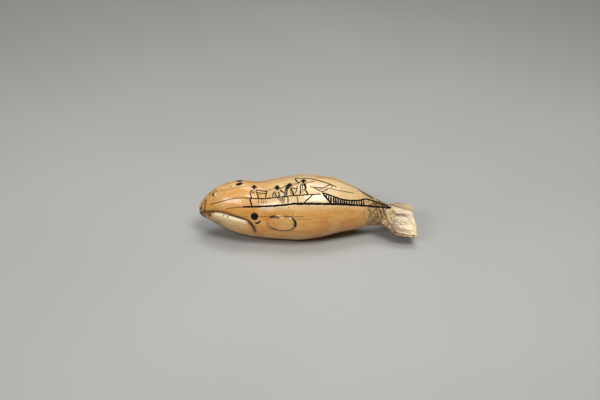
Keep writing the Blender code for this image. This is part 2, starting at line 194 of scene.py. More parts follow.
# Scratches on the flukes: (share of the length, share of half the span) of their starts and ends
SCRATCHES = 110
SCRATCH_START = ((0.872, 0.900), (0.10, 0.78))
SCRATCH_END = ((0.925, 0.995), (0.08, 1.00))
SCRATCH_WIDTH = (0.16, 0.32)
SCRATCH_DEPTH = (0.06, 0.20)
SCRATCH_FAN = (-0.10, 0.42)
SCRATCH_BOW = (-0.6, (-0.2, 0.8))
SCRATCH_FADE = 0.5
SCRATCH_ABOVE = 0.7
SCRATCH_MARGIN = 0.4
SCRATCH_SEED = 23

# Chip in the upper jaw: (share of the length, degrees above the side), size, depth, and its stain ahead
CHIP_PLACE = (0.078, 58.0)
CHIP_SIZE = (1.0, 0.6)
CHIP_DEPTH = 0.32
CHIP_STAIN_AHEAD = 1.1
CHIP_STAIN_SIZE = (0.9, 0.8)

# Worn front of the snout, ended by a scored line that leans back towards the top. The line is
# (degrees above the side, share of the length), and the score is (half width, depth).
MUZZLE_LINE = (
    (-45, 0.03), (-5, 0.0258), (8, 0.0245), (35, 0.0288),
    (52, 0.032), (64, 0.066), (90, 0.08),
)
MUZZLE_SCORE = (0.60, 0.20)
MUZZLE_WOBBLE = 0.28
MUZZLE_WAVES = 13
MUZZLE_FADE = (-0.8, 0.9)

# Small dark pits on the left side: share of the length, degrees above the side, radius, darkness
MARKS = (
    (0.01, 21, 0.85, 1), (0.0215, -9, 0.8, 0.8), (0.0275, 4, 0.85, 0.95), (0.054, -13.7, 0.95, 1),
    (0.0315, 52, 0.8, 0.55), (0.0283, 31, 0.8, 0.62), (0.029, 22, 0.75, 0.66), (0.12, -0.6, 0.62, 0.75),
    (0.139, -0.9, 0.6, 0.8), (0.149, 74, 1, 0.55), (0.128, 24, 0.45, 0.45), (0.182, -17, 1, 0.3),
    (0.228, -24, 0.7, 0.36), (0.318, 8, 0.7, 0.5), (0.345, -28, 0.75, 0.45), (0.3, -34, 0.6, 0.4),
    (0.325, -6, 0.8, 0.5), (0.42, 12, 0.75, 0.45), (0.436, 15.5, 0.55, 0.55), (0.368, 3, 0.55, 0.35),
    (0.395, -25, 0.6, 0.32),
)

# Brown and black on the ivory, mostly rubbed in; the first two lie along the chin's underside and are painted
# shade there, on some dirt. Each has a half width, strength, blackness, and the path of the smear as shares
# of the length and degrees up the left side, in turn. Those ahead of the tail are on both sides.
SMEARS_AND_CHIN_SHADE = (
    # These two chin rows are painted shade, black along the chin's underside, over some dirt.
    (2.4, 1, 1, (0.012, -48, 0.03, -53, 0.05, -54, 0.08, -53, 0.105, -55)),
    (2.3, 1, 1, (0.09, -53, 0.125, -56, 0.17, -57, 0.23, -57)),
    (0.6, 0.9, 0.22, (0.01, -2, 0.022, -3, 0.034, -4)),
    (0.85, 1, 0.42, (0.042, -4, 0.056, -1.5, 0.066, 0.5)),
    (0.75, 0.65, 0.1, (0.0315, 52, 0.029, 35, 0.0258, 18, 0.0243, 3)),
    (0.7, 1, 0.85, (0.066, 68, 0.069, 62.5, 0.068, 57)),
    (0.5, 0.8, 0.2, (0.05, 75, 0.066, 70, 0.085, 69)),
    (0.75, 1, 1, (0.334, 12, 0.345, 13.2, 0.358, 13.2, 0.372, 12.2)),
    (1.3, 0.6, 0, (0.323, -1, 0.326, -6, 0.336, -11.5, 0.365, -13.5)),
    (0.7, 0.9, 0.5, (0.336, -10.5, 0.35, -13, 0.362, -13.6)),
    (0.6, 0.9, 0.6, (0.428, 11, 0.442, 7.5, 0.449, 0.5, 0.446, -6)),
    (0.34, 0.75, 0.15, (0.52, -40, 0.6, -46, 0.67, -46.5, 0.725, -42, 0.757, -32)),
    (1.05, 1, 0.45, (0.889, 38, 0.8956, 29, 0.901, 16, 0.905, 5, 0.92, 2.6)),
    (0.62, 1, 0.35, (0.915, 2.8, 0.928, 2, 0.9385, 1.7, 0.948, 1.7)),
    (0.42, 0.75, 0, (0.9385, 1.6, 0.96, 1.6, 0.978, 4)),
    (1.2, 0.7, 0.1, (0.868, 36, 0.876, 26, 0.882, 16)),
    (0.52, 1, 0.2, (0.892, 72.5, 0.914, 75.7, 0.937, 77.4, 0.9657, 79, 0.975, 80.5)),
    (1, 0.45, 0, (0.9514, 71.6, 0.9757, 69.5)),
    (0.34, 0.85, 0.1, (0.905, 58, 0.918, 46, 0.931, 34)),
    (0.34, 0.85, 0.1, (0.917, 62, 0.935, 50, 0.948, 37)),
    (0.3, 0.6, 0, (0.9, 50, 0.912, 40, 0.922, 30)),
    (0.4, 0.48, 0, (0.98, 60, 0.985, 48, 0.9825, 38, 0.9857, 26)),
    (0.5, 1, 0.7, (0.982, 8, 0.985, 6)),
    (0.85, 0.55, 0, (0.92, 132, 0.9385, 119, 0.9557, 109, 0.978, 107)),
    (0.6, 0.5, 0, (0.985, 108, 0.99, 100, 0.992, 93)),
)
FAR_SMEARS = 0.75
SOFT_EDGE = 0.7

# Brown, as (strength, smooth steps up or down it): dirt on the chin and the mouth's corner and on the rim and
# root of the flukes, and darker brown in the valley beside the tail's ridge and under the flukes. The worn
# snout and its score have strengths alone.
CHIN_DIRT = (0.70, (0.06, 0.16), (2.5, 5.5))
CORNER_DIRT = (0.80, (0.045, 0.085), ((-1.2, 0.0), (2.0, 4.0)))
RIM_DIRT = (0.40, ((0.80, 0.87), (0.92, 0.97)), ((0.885, 0.90), (0.96, 0.985)))
ROOT_DIRT = (0.55, ((0.45, 0.80), (0.93, 0.985)), ((0.855, 0.885), (0.898, 0.922)))
VALLEY_BROWN = (0.4, ((0.10, 0.18), (0.26, 0.36)), (0.92, 0.95))
UNDER_FLUKE_BROWN = (0.8, (0.86, 0.90))
WORN_DIRT = 0.35
SCORE_DIRT = 0.55

# Where the skin's tints lie, as smooth steps up or down in mm under the mouth, degrees above the side or
# shares of the length. A tint's strength comes first, and the head's also has the share lost on its crown.
LIP_CLEAN = (0.8, ((0.10, 0.70), (9.0, 12.0)), (0.21, 0.245))
JAW_PALE = (0.8, ((0.3, 1.2), (2.0, 11.0)), ((0.05, 0.09), (0.20, 0.27)))
# The pale band under the mouth is the lower lip's cream colour with a painted highlight along its top edge.
LIP_PALE_AND_HIGHLIGHT = (((0.25, 0.75), (1.4, 2.6)), ((0.060, 0.085), (0.185, 0.235)))
CHEEK_BLUSH = (((0.10, 0.19), (0.25, 0.31)), ((2.0, 12.0), (27.0, 40.0)))
# Amber low on the sides is patina and painted shade where the sides turn away from the light.
SIDE_AMBER_AND_SHADE = (14.0, 36.0)
HEAD_AMBER = (0.75, (0.24, 0.40), 0.5, (50.0, 88.0))
# Amber on the far side of the back is painted shade.
FAR_SIDE_SHADE = (0.42, (66.0, 90.0))
AMBER_END = (0.86, 0.91)
# Umber towards the underside is painted shade.
BELLY_SHADE = (-60.0, -8.0)
STOCK_TINT = ((0.74, 0.785), (0.875, 0.925))
FLUKE_TINT = (0.86, 0.92)
FAINT_STAIN = (0.42, (0.10, 0.19))
CHIP_DARKNESS = 0.9
FLIPPER_DARKNESS = 0.85
TAIL_DARKNESS = 0.55

# The skin lies this far inside the solid's outermost points
SKIN_INSET = 0.02
END_INSET = 0.01

# The engraving is laid out on a plane that leans back this many degrees from upright and is
# carried straight onto the skin. Its places are (mm along the body from its middle, mm up the plane).
PLANE_LEAN = 30.0
INK_SPACING = 0.3
INK_PROUD = 0.02
INK_EDGE_PROUD = 0.004
INK_KEY = 0.12
INK_WANDER = 0.05
INK_WEIGHT = 1.18
INK_UNEVEN = 0.16
WANDER_WAVES = (1.1, 0.37)
SWELL_WAVES = (2.3, 0.9)
THINNEST = 0.02
INK_SHARP_DEGREES = 80.0
LEFT_SEED = 3
RIGHT_SEED = 4
RIGHT_BAND = 0.5
TILT_RANGE = (-75.0, 118.0)
HALVINGS = 30
CREST_STEPS = 97
CREST_MARGIN = 0.25

WATERLINE = (
    (-34.7, 14.9), (-27.5, 15.1), (-19.5, 15.4), (-11, 16.1), (-7.4, 16.6), (1, 16.7),
    (17.9, 16.4), (24.8, 15.9), (35.3, 15.1), (44, 14.3),
)
WATERLINE_START = ((-42.9, 13.9), (-37.9, 14.6), (-34.0, 14.9))
GUNWALE = (
    (-33, 19.7), (-26.4, 19.3), (-21.6, 19.4), (-13.2, 20.2), (-7.4, 20.8), (2.1, 21.4), (6.9, 21.7),
)
GUNWALE_START = ((-51.2, 16.2), (-44.5, 18.0), (-39.0, 19.3), (-33.0, 19.8))
BAND_TOP = (
    (7.8, 22.4), (11.1, 21.1), (13.2, 20.4), (18.8, 18.6), (25.3, 18.3), (28, 18.6),
    (30.1, 19.1), (32.7, 18.6), (36.4, 17.5), (40.1, 16.2), (44.2, 14.5),
)
BAND_FRONT = ((7.4, 22.6), (9.2, 20.0), (12.4, 16.6))
PITS_START = 30.5

# Widths of the hatched band's lines, and its strokes: width, spacing and lean. Pits: spacing, length, tone.
BAND_TOP_WIDTH = 0.76
BAND_FRONT_WIDTH = 0.84
HATCH_WIDTH = (0.62, 0.90)
HATCH_SPACING = (1.05, 1.42)
HATCH_LEAN = 0.22
HATCH_MARGINS = (0.5, 1.2)
HATCH_OVERLAP = 0.1
CROSS_SHARE = 0.3
CROSS_WIDTH = 0.42
PIT_NARROWING = 0.6
PIT_SPACING = (0.42, 0.74)
PIT_PLACE = (0.1, 0.6)
PIT_LENGTH = (0.6, 1.4)
PIT_TONE = 0.66
SHORTEST_STROKE = 0.3

# Strokes, as (width, tone, places, and its ends where they aren't plain). The places of a man are from the
# middle of his brim, those of the little whale and its line from its own place, and all others on the plane.
PLAIN_ENDS = (0.35, 0.35)
BOAT = (
    (0.78, 1, (-30.4, 19.5, -29.8, 17.4, -29.1, 15.3)),
    (0.54, 1, (2.4, 21.2, -0.2, 18.9, -2.4, 16.8)),
    (0.5, 0.9, (-10.6, 20.4, -10.4, 18.4, -10.5, 16.3)),
    (0.4, 0.85, (-5.8, 20.8, -5.4, 18.6, -5, 16.7)),
    (0.44, 0.85, (-13.4, 20, -13.3, 18.8)),
)
RIBS = (-25.9, -24.4, -23.4, -22.2)
SHADING_LINES = 6
WHALE_HATCHES = 9
ROWER_AT = (-28.1, 25.3)
ROWER = (
    (0.56, 1, (-0.8, -1.5, -2, -2.6, -1.8, -4.5, -0.9, -5.9)),
    (0.5, 0.9, (0.8, -1.5, 1.4, -3.1, 2.4, -5.9)),
    (0.56, 1, (0.7, -1.4, 3.3, -1.85, 6.6, -2.2)),
    (0.48, 1, (1.2, -2.8, 3.9, -3.2, 6.6, -3.4)),
    (0.3, 0.6, (1.6, -3.7, 4.1, -4.1)),
    (0.42, 0.75, (-0.7, -1.7, -0.4, -3.1, 0.5, -2)),
    (0.34, 0.6, (-1.1, -2.7, -0.7, -3.7)),
    (0.62, 1, (6.7, -1.5, 6.3, -3.55, 5.9, -5.9)),
)
PULLER_AT = (-16.2, 25.0)
PULLER = (
    (1.2, 1, (-0.2, -0.5, 1, -0.7), (0.7, 0.7)),
    (0.52, 1, (-0.9, -1.7, -2, -3.2, -2.2, -5.1)),
    (0.6, 1, (0.4, -1.9, 1.2, -3.4, 1, -5.1)),
    (0.42, 0.8, (-1.2, -2.6, -0.2, -4, 0.3, -5.1)),
    (0.42, 0.75, (-0.3, -2.2, -1, -3.9, -0.9, -5.1)),
    (0.44, 1, (1.1, -0.9, 3.4, 0.2, 6.3, 1.3)),
    (0.66, 1, (1.2, -1.1, 2.6, -1.9, 4, -3)),
    (0.6, 1, (4.9, 0.6, 4.3, -2.2, 3.9, -5.5)),
)
LANCER_AT = (-9.6, 26.3)
LANCER = (
    (1.1, 1, (-0.9, -0.6, -0.7, -2), (0.7, 0.5)),
    (0.6, 1, (-1, 0.9, -1.3, -2.6, -1.7, -5.6)),
    (0.74, 1, (0.5, -1, 1.3, -3, 2.4, -5.6)),
    (0.34, 0.6, (0.2, -1.6, 0.5, -3.6, 1.3, -5.6)),
    (0.5, 0.9, (0.7, -0.8, 2.2, -1.7, 3.9, -1.7)),
    (0.4, 0.8, (1.3, -0.1, 3.2, 0.5, 5, 0.7)),
    (0.52, 0.75, (4.1, -0.2, 3.7, -2.2, 3, -4.4)),
)
THROWER_AT = (-2.4, 28.5)
THROWER = (
    (0.62, 0.95, (-1, -1.2, -1.5, -2.6, -1.6, -4.2)),
    (0.62, 1, (-1.6, -4.2, -1.5, -5.8, -1.9, -7.3)),
    (1, 1, (0.8, -0.9, 1, -3, 1.2, -4.6)),
    (0.72, 1, (0.2, -4.2, 1.5, -5.6, 2.5, -7.3)),
    (0.44, 0.9, (-1.3, -4.3, 0.6, -4.5)),
    (0.42, 0.85, (-0.5, -1.2, -0.4, -2.7, -0.6, -4)),
    (0.6, 0.95, (0.2, -1.2, 0.3, -2.6)),
    (0.34, 0.55, (-0.2, -4.6, -0.4, -6.4)),
    (0.64, 1, (-1.2, -1, -3.3, -0.3, -4.4, 1.4)),
    (0.44, 1, (0.9, -1.2, 3.6, -0.5, 6.2, -0.2)),
    (0.62, 1, (-4.6, 1.5, 3.2, 1.3, 9.3, -0.2, 14, -1.7, 17.6, -3.4), (0.5, 0.2)),
)
LITTLE_WHALE_AT = (3.4, 24.6)
LITTLE_WHALE = (
    (0.5, 0.9, (-2.6, 0.9, 1, 0.5, 5, 0.5, 8.4, 2.3)),
    (0.44, 0.8, (-0.5, 0.4, 2.5, -1.2, 5, -1.4, 7.4, 0.1)),
    (0.5, 0.45, (8.3, 2.2, 9, 1.2, 8.6, 0.1)),
)
TOWED_LINE = ((0.38, 0.75, (6.6, 0.2, 12, -0.9, 21, -2.6)),)
THIN_LINES = (
    (0.3, 0.42, (-46.4, 23.5, -39.3, 24.7, -34.8, 25.5, -30.4, 25.9)),
    (0.26, 0.35, (-44, 26, -40.5, 27.6, -37.6, 28.3)),
    (0.34, 0.5, (-33.6, 28, -24.6, 28, -15.5, 29.2, -9.5, 30.4, -5, 30.9)),
    (0.3, 0.5, (-20.7, 23.7, -17.6, 24.6)),
    (0.34, 0.6, (-12.7, 26, -6.7, 27.3, -4.4, 27.4)),
    (0.26, 0.4, (-19.5, 27.4, -15, 28.3, -9.7, 29.3)),
    (0.4, 0.62, (3.6, 30.9, 12.4, 29.6, 17.4, 28, 25.2, 25.2)),
    (0.26, 0.4, (-34.4, 9.9, -31, 10)),
    (0.3, 0.5, (-25.9, 9.9, -19, 10, -6, 9.9, -2, 9.9)),
    (0.26, 0.3, (-6.5, 8.3, -3, 8.5, 1.5, 8.2)),
    (0.62, 0.95, (-19.6, 9.5, -17.6, 10.1, -15.4, 9.9)),
    (0.72, 0.9, (-6.9, 8, -6.3, 6.4, -6.5, 4.4)),
    (0.44, 0.55, (-7.2, 4.2, -10, 3, -14, 3, -17.6, 3.9, -19, 4.9)),
    (0.26, 0.3, (-10.6, 15.4, -9.2, 13.6)),
    (0.34, 0.35, (-8.2, 12, -7.6, 11)),
    (0.44, 0.45, (3, -0.9, 14, 0.4, 22.5, 1.9, 29.5, 4.6)),
    (1.15, 1, (25.2, 25.3, 29.4, 22.3, 33.9, 19.6), (0.2, 0.5)),
)
EYE_STROKES = (
    (0.78, 0.95, (-27.9, 6.9, -26.6, 6.4, -25.3, 7.2, -24.7, 8)),
    (0.4, 0.6, (-28.2, 8.3, -27.6, 7.7)),
)


def ease(value, low, high):
    """0 below low, 1 above high and a smooth step between them."""
    u = np.clip((value - low) / (high - low), 0.0, 1.0)
    return u * u * (3 - 2 * u)


def profile(line, along):
    """Values at places along a smooth curve through the line's points, which doesn't overshoot them."""
    places, values = np.array(line).T
    steps = np.diff(places)
    rises = np.diff(values) / steps
    before, after = rises[:-1], rises[1:]
    level = before * after <= 0
    total = np.where(level, 1.0, before + after)
    inner = np.where(level, 0.0, 2 * before * after / total)
    slopes = np.concatenate((rises[:1], inner, rises[-1:]))
    along = np.clip(along, places[0], places[-1])
    at = np.clip(np.searchsorted(places, along, side="right") - 1, 0, len(steps) - 1)
    step = steps[at]
    u = (along - places[at]) / step
    start = values[at] * (1 + 2 * u) * (1 - u) ** 2 + slopes[at] * step * u * (1 - u) ** 2
    end = values[at + 1] * u * u * (3 - 2 * u) + slopes[at + 1] * step * u * u * (u - 1)
    return start + end


def rounding(distance, radius):
    """Share of its full size that an end with a rounded rim has, this far in from the end."""
    return np.sqrt(1 - (1 - np.clip(distance / radius, 0.0, 1.0)) ** 2)


def tip_sweep(out):
    """How far back the trailing edge runs, for a share of half the span that is negative on the left."""
    share = np.minimum(1.0, np.abs(out))
    left = LEFT_TIP_SWEEP * (1 - (1 - share) ** LEFT_SWEEP_POWER)
    right = RIGHT_TIP_SWEEP * share - RIGHT_TIP_CUT * share**RIGHT_CUT_POWER
    return np.where(out < 0, left, right)


def bare_point(along, angle):
    """Points on the body before its relief. The angle is 0 on the right side, and 90 degrees on the back."""
    back = profile(BACK_LINE, along) * BODY_HEIGHT
    belly = profile(BELLY_LINE, along) * BODY_HEIGHT
    middle = belly + (back - belly) * profile(SIDE_LINE, along)
    body = profile(WIDTH_LINE, along) * BODY_WIDTH / 2
    flukes = profile(FLUKE_LINE, along) * FLUKE_SPAN / 2
    spread = ease(along, FLUKE_ROOT, FLUKE_SPREAD)
    half_width = np.maximum(body, flukes)
    ridge = np.minimum(half_width, body + (profile(RIDGE_LINE, along) * FLUKE_SPAN / 2 - body) * spread)

    sideways, upward = np.cos(angle), np.sin(angle)
    reach = np.where(upward > 0, back - middle, middle - belly)
    core = reach * np.maximum(0.0, 1 - (sideways * half_width / ridge) ** 2) ** (0.5 + spread)
    plate = spread * FLUKE_THICKNESS / 2 * np.abs(upward) ** FLUKE_BLUNTNESS
    height = np.hypot(core, plate)

    from_end = (1 - along) * LENGTH
    trailing = np.where(along > FLUKE_SPREAD, rounding(from_end, TRAILING_ROUNDING), 1.0)
    snout = SNOUT_FLAT + (1 - SNOUT_FLAT) * rounding(along, SNOUT_ROUNDING)
    y = half_width * sideways * (1 - profile(CROWN_LINE, along) * upward)
    y = y * snout * (1 - CORNER_ROUNDING * (1 - trailing))
    z = middle + np.copysign(height, upward) * snout * np.maximum(TRAILING_FLAT, trailing)

    droop = math.tan(math.radians(FLUKE_DROOP)) * (np.hypot(y, DROOP_ROUNDING) - DROOP_ROUNDING)
    z = z + spread * (math.tan(math.radians(FLUKE_TWIST)) * y - droop)
    x = (LENGTH - LEFT_TIP_SWEEP) * along - LENGTH / 2
    x = x + ease(along, SWEEP_START, 1.0) * tip_sweep(2 * y / FLUKE_SPAN)
    return np.stack(np.broadcast_arrays(x, y, z), axis=-1)


def outward(along, angle):
    """Unit vectors that point out of the body."""
    nudge = 0.002
    inside = np.clip(along, 0.01, 0.98)
    lengthways = bare_point(inside + nudge, angle) - bare_point(inside - nudge, angle)
    around = bare_point(inside, angle + nudge) - bare_point(inside, angle - nudge)
    out = np.cross(around, lengthways)
    return out / np.linalg.norm(out, axis=-1, keepdims=True)


def tilt_of(angle):
    """Degrees above the side of the section, the same on both sides."""
    return np.degrees(np.arcsin(np.clip(np.sin(angle), -1.0, 1.0)))


def side_angle(tilt, side):
    """Angle round the section of a place so many degrees above the side. Side is -1 on the left."""
    return np.radians(tilt) if side > 0 else math.pi - np.radians(tilt)


def section_radius(along):
    """Half the mean width of the section, which turns angles into distances along the skin."""
    height = (profile(BACK_LINE, along) - profile(BELLY_LINE, along)) * BODY_HEIGHT
    return (height + profile(WIDTH_LINE, along) * BODY_WIDTH) / 4


def below_mouth(along, angle):
    """Distance under the mouth, round the section."""
    return np.radians(profile(MOUTH_LINE, along) - tilt_of(angle)) * section_radius(along)


def lip_relief(along, angle):
    """Lower lip, which stands out from the upper jaw just under the mouth."""
    below = below_mouth(along, angle)
    window = ease(along, *LIP_RUN[0]) * (1 - ease(along, *LIP_RUN[1]))
    return LIP_RISE * window * ease(below, 0.0, LIP_EDGE) * (1 - ease(below, LIP_EDGE, LIP_DEPTH))


def flipper_reach(along, angle):
    """Place on the flipper: its share towards the rear, and how far out it is, 1 on the outline."""
    across = np.radians(tilt_of(angle) - FLIPPER_TILT) * section_radius(along) / (FLIPPER_WIDTH / 2)
    rearward = (along - FLIPPER_AT) * LENGTH / (FLIPPER_LENGTH / 2)
    reach = np.abs(rearward) ** FLIPPER_ROUNDNESS + np.abs(across) ** FLIPPER_ROUNDNESS
    return rearward, reach ** (1 / FLIPPER_ROUNDNESS)


def flipper_relief(along, angle):
    """Low pad with a steep rim at its rear that dies away towards its front."""
    rearward, reach = flipper_reach(along, angle)
    fade = FLIPPER_FRONT + (1 - FLIPPER_FRONT) * ease(rearward, -1.0, 0.2)
    return FLIPPER_RISE * fade * (1 - ease(reach, 1 - FLIPPER_EDGE, 1 + FLIPPER_EDGE))


def dish_relief(along, angle):
    """Hollow in the top of each fluke, which leaves a rim round it."""
    across = np.abs(np.cos(angle))
    share = ease(across, *DISH_ACROSS[0]) * (1 - ease(across, *DISH_ACROSS[1]))
    share = share * ease(along, *DISH_RUN[0]) * (1 - ease(along, *DISH_RUN[1]))
    return np.where(np.sin(angle) > 0, -DISH_DEPTH * share, 0.0)


def uneven(along, angle):
    """Shallow waves left by scraping and polishing, always inwards."""
    rng = np.random.default_rng(UNEVEN_SEED)
    total = np.zeros(np.broadcast(along, angle).shape)
    for _ in range(UNEVEN_WAVES):
        lengthwise = rng.uniform(*UNEVEN_LENGTHWISE) * 2 * math.pi
        around = rng.integers(0, UNEVEN_ROUND)
        total = total + np.sin(along * lengthwise + around * angle + rng.uniform(0, 2 * math.pi))
    return UNEVEN_DEPTH * (1 + total / UNEVEN_WAVES)


def skin(along, angle):
    """Points on the polished skin, and the directions out of it."""
    out = outward(along, angle)
    raised = lip_relief(along, angle) + flipper_relief(along, angle) + dish_relief(along, angle)
    raised = raised - uneven(along, angle) - SKIN_INSET
    return bare_point(along, angle) + out * raised[..., None], out


def smooth_path(points, spacing):
    """Evenly spaced places along a smooth curve through the points, and their shares of its length."""
    points = np.array(points, float)
    padded = np.vstack((2 * points[0] - points[1], points, 2 * points[-1] - points[-2]))
    pieces = []
    for a, b, c, d in zip(padded, padded[1:], padded[2:], padded[3:]):
        count = max(2, int(np.linalg.norm(c - b) / spacing * 2))
        u = np.linspace(0, 1, count, endpoint=False)[:, None]
        square, cube = a - 2.5 * b + 2 * c - d / 2, 1.5 * (b - c) + (d - a) / 2
        pieces.append(b + (c - a) * u / 2 + square * u**2 + cube * u**3)
    dense = np.vstack(pieces + [points[-1:]])
    run = np.concatenate(([0.0], np.cumsum(np.linalg.norm(np.diff(dense, axis=0), axis=1))))
    shares = np.linspace(0, 1, max(3, int(run[-1] / spacing) + 1))
    return np.stack([np.interp(shares * run[-1], run, axis) for axis in dense.T], 1), shares


def skin_path(places):
    """Evenly spaced (shares of the length, degrees) along a smooth curve through such places."""
    path, _ = smooth_path([(along * LENGTH, tilt / DEGREES_PER_MM) for along, tilt in places], SAMPLE_SPACING)
    return path[:, 0] / LENGTH, DEGREES_PER_MM * path[:, 1]


def apart(points, line):
    """Distance of each point from a densely sampled line, and the number of the line's nearest sample."""
    found = []
    for part in np.array_split(points, max(1, len(points) // CHUNK)):
        gaps = np.linalg.norm(part[:, None] - line[None], axis=2)
        found.append((gaps.min(1), gaps.argmin(1)))
    return [np.concatenate(values) for values in zip(*found)]


def within(points, line, margin):
    """Which points lie in the line's bounding box, widened by the margin."""
    return np.all((points > line.min(0) - margin) & (points < line.max(0) + margin), axis=1)


def nearest(points, line):
    """Distance of each point from a line, or far away outside its box, and the nearest share of the line."""
    close = within(points, line, NEAR_MARGIN)
    distance, share = np.full(len(points), FAR_AWAY), np.zeros(len(points))
    distance[close], number = apart(points[close], line)
    share[close] = number / (len(line) - 1)
    return distance, share


def mouth_path(side):
    """Mouth from the front of the snout to its corner."""
    along, _ = skin_path(MOUTH_LINE)
    return skin(along, side_angle(profile(MOUTH_LINE, along), side))[0]


def flipper_path(side):
    """Outline of the flipper, round its top, rear and underside."""
    turn = np.radians(np.linspace(*FLIPPER_ARC, FLIPPER_SAMPLES))
    power = 2 / FLIPPER_ROUNDNESS
    forward = np.copysign(np.abs(np.cos(turn)) ** power, np.cos(turn))
    across = np.copysign(np.abs(np.sin(turn)) ** power, np.sin(turn))
    along = FLIPPER_AT + forward * FLIPPER_LENGTH / 2 / LENGTH
    tilt = FLIPPER_TILT + np.degrees(across * FLIPPER_WIDTH / 2 / section_radius(along))
    return skin(along, side_angle(tilt, side))[0]


def tail_groove_path(side):
    """Groove beside the tail's ridge, which spreads a little towards the trailing edge."""
    share = np.linspace(0, 1, TAIL_GROOVE_SAMPLES)
    along = TAIL_GROOVE_RUN[0] + (TAIL_GROOVE_RUN[1] - TAIL_GROOVE_RUN[0]) * share
    out = TAIL_GROOVE_SPREAD[0] + (TAIL_GROOVE_SPREAD[1] - TAIL_GROOVE_SPREAD[0]) * share
    return skin(along, np.arccos(out * side))[0]


def gouge(points, line, half_width, tapered=(True, True)):
    """Share of its full depth that a round gouge has at each point, and of the stained halo beside it."""
    distance, share = nearest(points, line)
    length = np.linalg.norm(np.diff(line, axis=0), axis=1).sum()
    full = np.ones(len(points))
    for taper, from_end in zip(tapered, (share, 1 - share)):
        if taper:
            full = full * ease(from_end * length, TAPER_START, GOUGE_TAPER)
    cut = full * np.maximum(0.0, 1 - (distance / half_width) ** 2) ** GOUGE_POWER
    return cut, full * np.maximum(0.0, 1 - distance / (half_width * HALO_WIDTH))


def stroke_field(across, lengthways, strokes):
    """Depth of the deepest of many short strokes, on a surface laid out in millimetres."""
    depth = np.zeros(across.shape)
    for place, heading, length, width, deep in strokes:
        du, dv = lengthways - place[0], across - place[1]
        close = (np.abs(du) < length) & (np.abs(dv) < length)
        du, dv = du[close], dv[close]
        run = du * math.cos(heading) + dv * math.sin(heading)
        off = dv * math.cos(heading) - du * math.sin(heading)
        beyond = np.maximum(0.0, np.abs(run) - length / 2)
        near = np.maximum(0.0, 1 - (off**2 + beyond**2) / width**2)
        depth[close] = np.maximum(depth[close], deep * near)
    return depth


def knurl(along, angle):
    """Short slanting strokes all round the tail stock."""
    rng = np.random.default_rng(KNURL_SEED)
    depth = np.zeros(along.shape)
    rows = (along > KNURL_RUN[0] - RUN_MARGIN) & (along < KNURL_RUN[1] + RUN_MARGIN)
    radius = section_radius(np.clip(along[rows], 0, KNURL_RUN[1]))
    strokes = []
    for _ in range(KNURL_STROKES):
        at = rng.triangular(KNURL_RUN[0], KNURL_PEAK, KNURL_RUN[1])
        turn = rng.uniform(0, 2 * math.pi)
        slant = rng.uniform(*KNURL_SLANT) * rng.choice((1, 1, -1))
        size = [rng.uniform(*limits) for limits in (KNURL_LENGTH, KNURL_WIDTH, KNURL_DEPTH)]
        centre = (at * LENGTH, turn * float(section_radius(np.array(at))))
        strokes.append((centre, math.radians(slant), *size))
    depth[rows] = stroke_field(angle[rows] * radius, along[rows] * LENGTH, strokes)
    return depth


def scratches(along, points, angle):
    """Long fine scratches that fan out over the flukes, above and below."""
    rng = np.random.default_rng(SCRATCH_SEED)
    depth = np.zeros(along.shape)
    rows = along > SCRATCH_START[0][0] - RUN_MARGIN
    plan = np.stack((points[rows, 0] + LENGTH / 2, points[rows, 1]), 1)
    found = np.zeros(len(plan))
    above = np.sin(angle[rows]) > 0
    half_span = FLUKE_SPAN / 2
    for _ in range(SCRATCHES):
        side = rng.choice((-1, 1))
        starts = [rng.uniform(*limits) for limits in SCRATCH_START]
        spread = np.clip(starts[1] + rng.uniform(*SCRATCH_FAN), *SCRATCH_END[1])
        start = np.array((starts[0] * LENGTH, side * starts[1] * half_span))
        end = np.array((rng.uniform(*SCRATCH_END[0]) * LENGTH, side * spread * half_span))
        middle = (start + end) / 2 + np.array((SCRATCH_BOW[0], side * rng.uniform(*SCRATCH_BOW[1])))
        line, _ = smooth_path([start, middle, end], SAMPLE_SPACING)
        width, deep = rng.uniform(*SCRATCH_WIDTH), rng.uniform(*SCRATCH_DEPTH)
        facing = above if rng.uniform() < SCRATCH_ABOVE else ~above
        near = np.flatnonzero(facing & within(plan, line, SCRATCH_MARGIN))
        distance, number = apart(plan[near], line)
        fade = 1 - SCRATCH_FADE * number / len(line)
        found[near] = np.maximum(found[near], deep * fade * np.maximum(0.0, 1 - (distance / width) ** 2))
    depth[rows] = found
    return depth


def spot(along, angle, place, size, ahead=0.0):
    """Share of an oval mark on the left side, 1 in its middle. The place is (share of the length, tilt)."""
    away = (angle - side_angle(place[1], -1)) * section_radius(along) / size[1]
    forward = ((along - place[0]) * LENGTH + ahead) / size[0]
    return np.maximum(0.0, 1 - forward**2 - away**2) ** SOFT_EDGE


def muzzle(along, angle):
    """Distance in millimetres behind the scored line that ends the worn front of the snout."""
    wobble = MUZZLE_WOBBLE * np.sin(MUZZLE_WAVES * angle)
    return (along - profile(MUZZLE_LINE, tilt_of(angle))) * LENGTH + wobble


def between(value, low, high):
    """1 between two smooth steps, each given by its ends."""
    return ease(value, *low) * (1 - ease(value, *high))


def ring_places():
    """Shares of the length at which the skin has a ring."""
    places = [0.0]
    for end, rings in RING_RUNS:
        start = places[-1]
        places += [start + (end - start) * step / rings for step in range(1, rings + 1)]
    return np.array(places)


def column_angles(along):
    """Angles of all columns in each ring. They follow the mouth, and lie closer on the sides."""
    base = 2 * math.pi * np.arange(COLUMNS) / COLUMNS
    bunching = COLUMN_BUNCHING * (1 - ease(along, *BUNCHING_END))[:, None]
    follow = np.radians(profile(MOUTH_LINE + MOUTH_RETURN, along))[:, None]
    tilt = base - bunching * np.sin(2 * base)
    return tilt + follow * np.cos(tilt) * np.abs(np.cos(tilt))


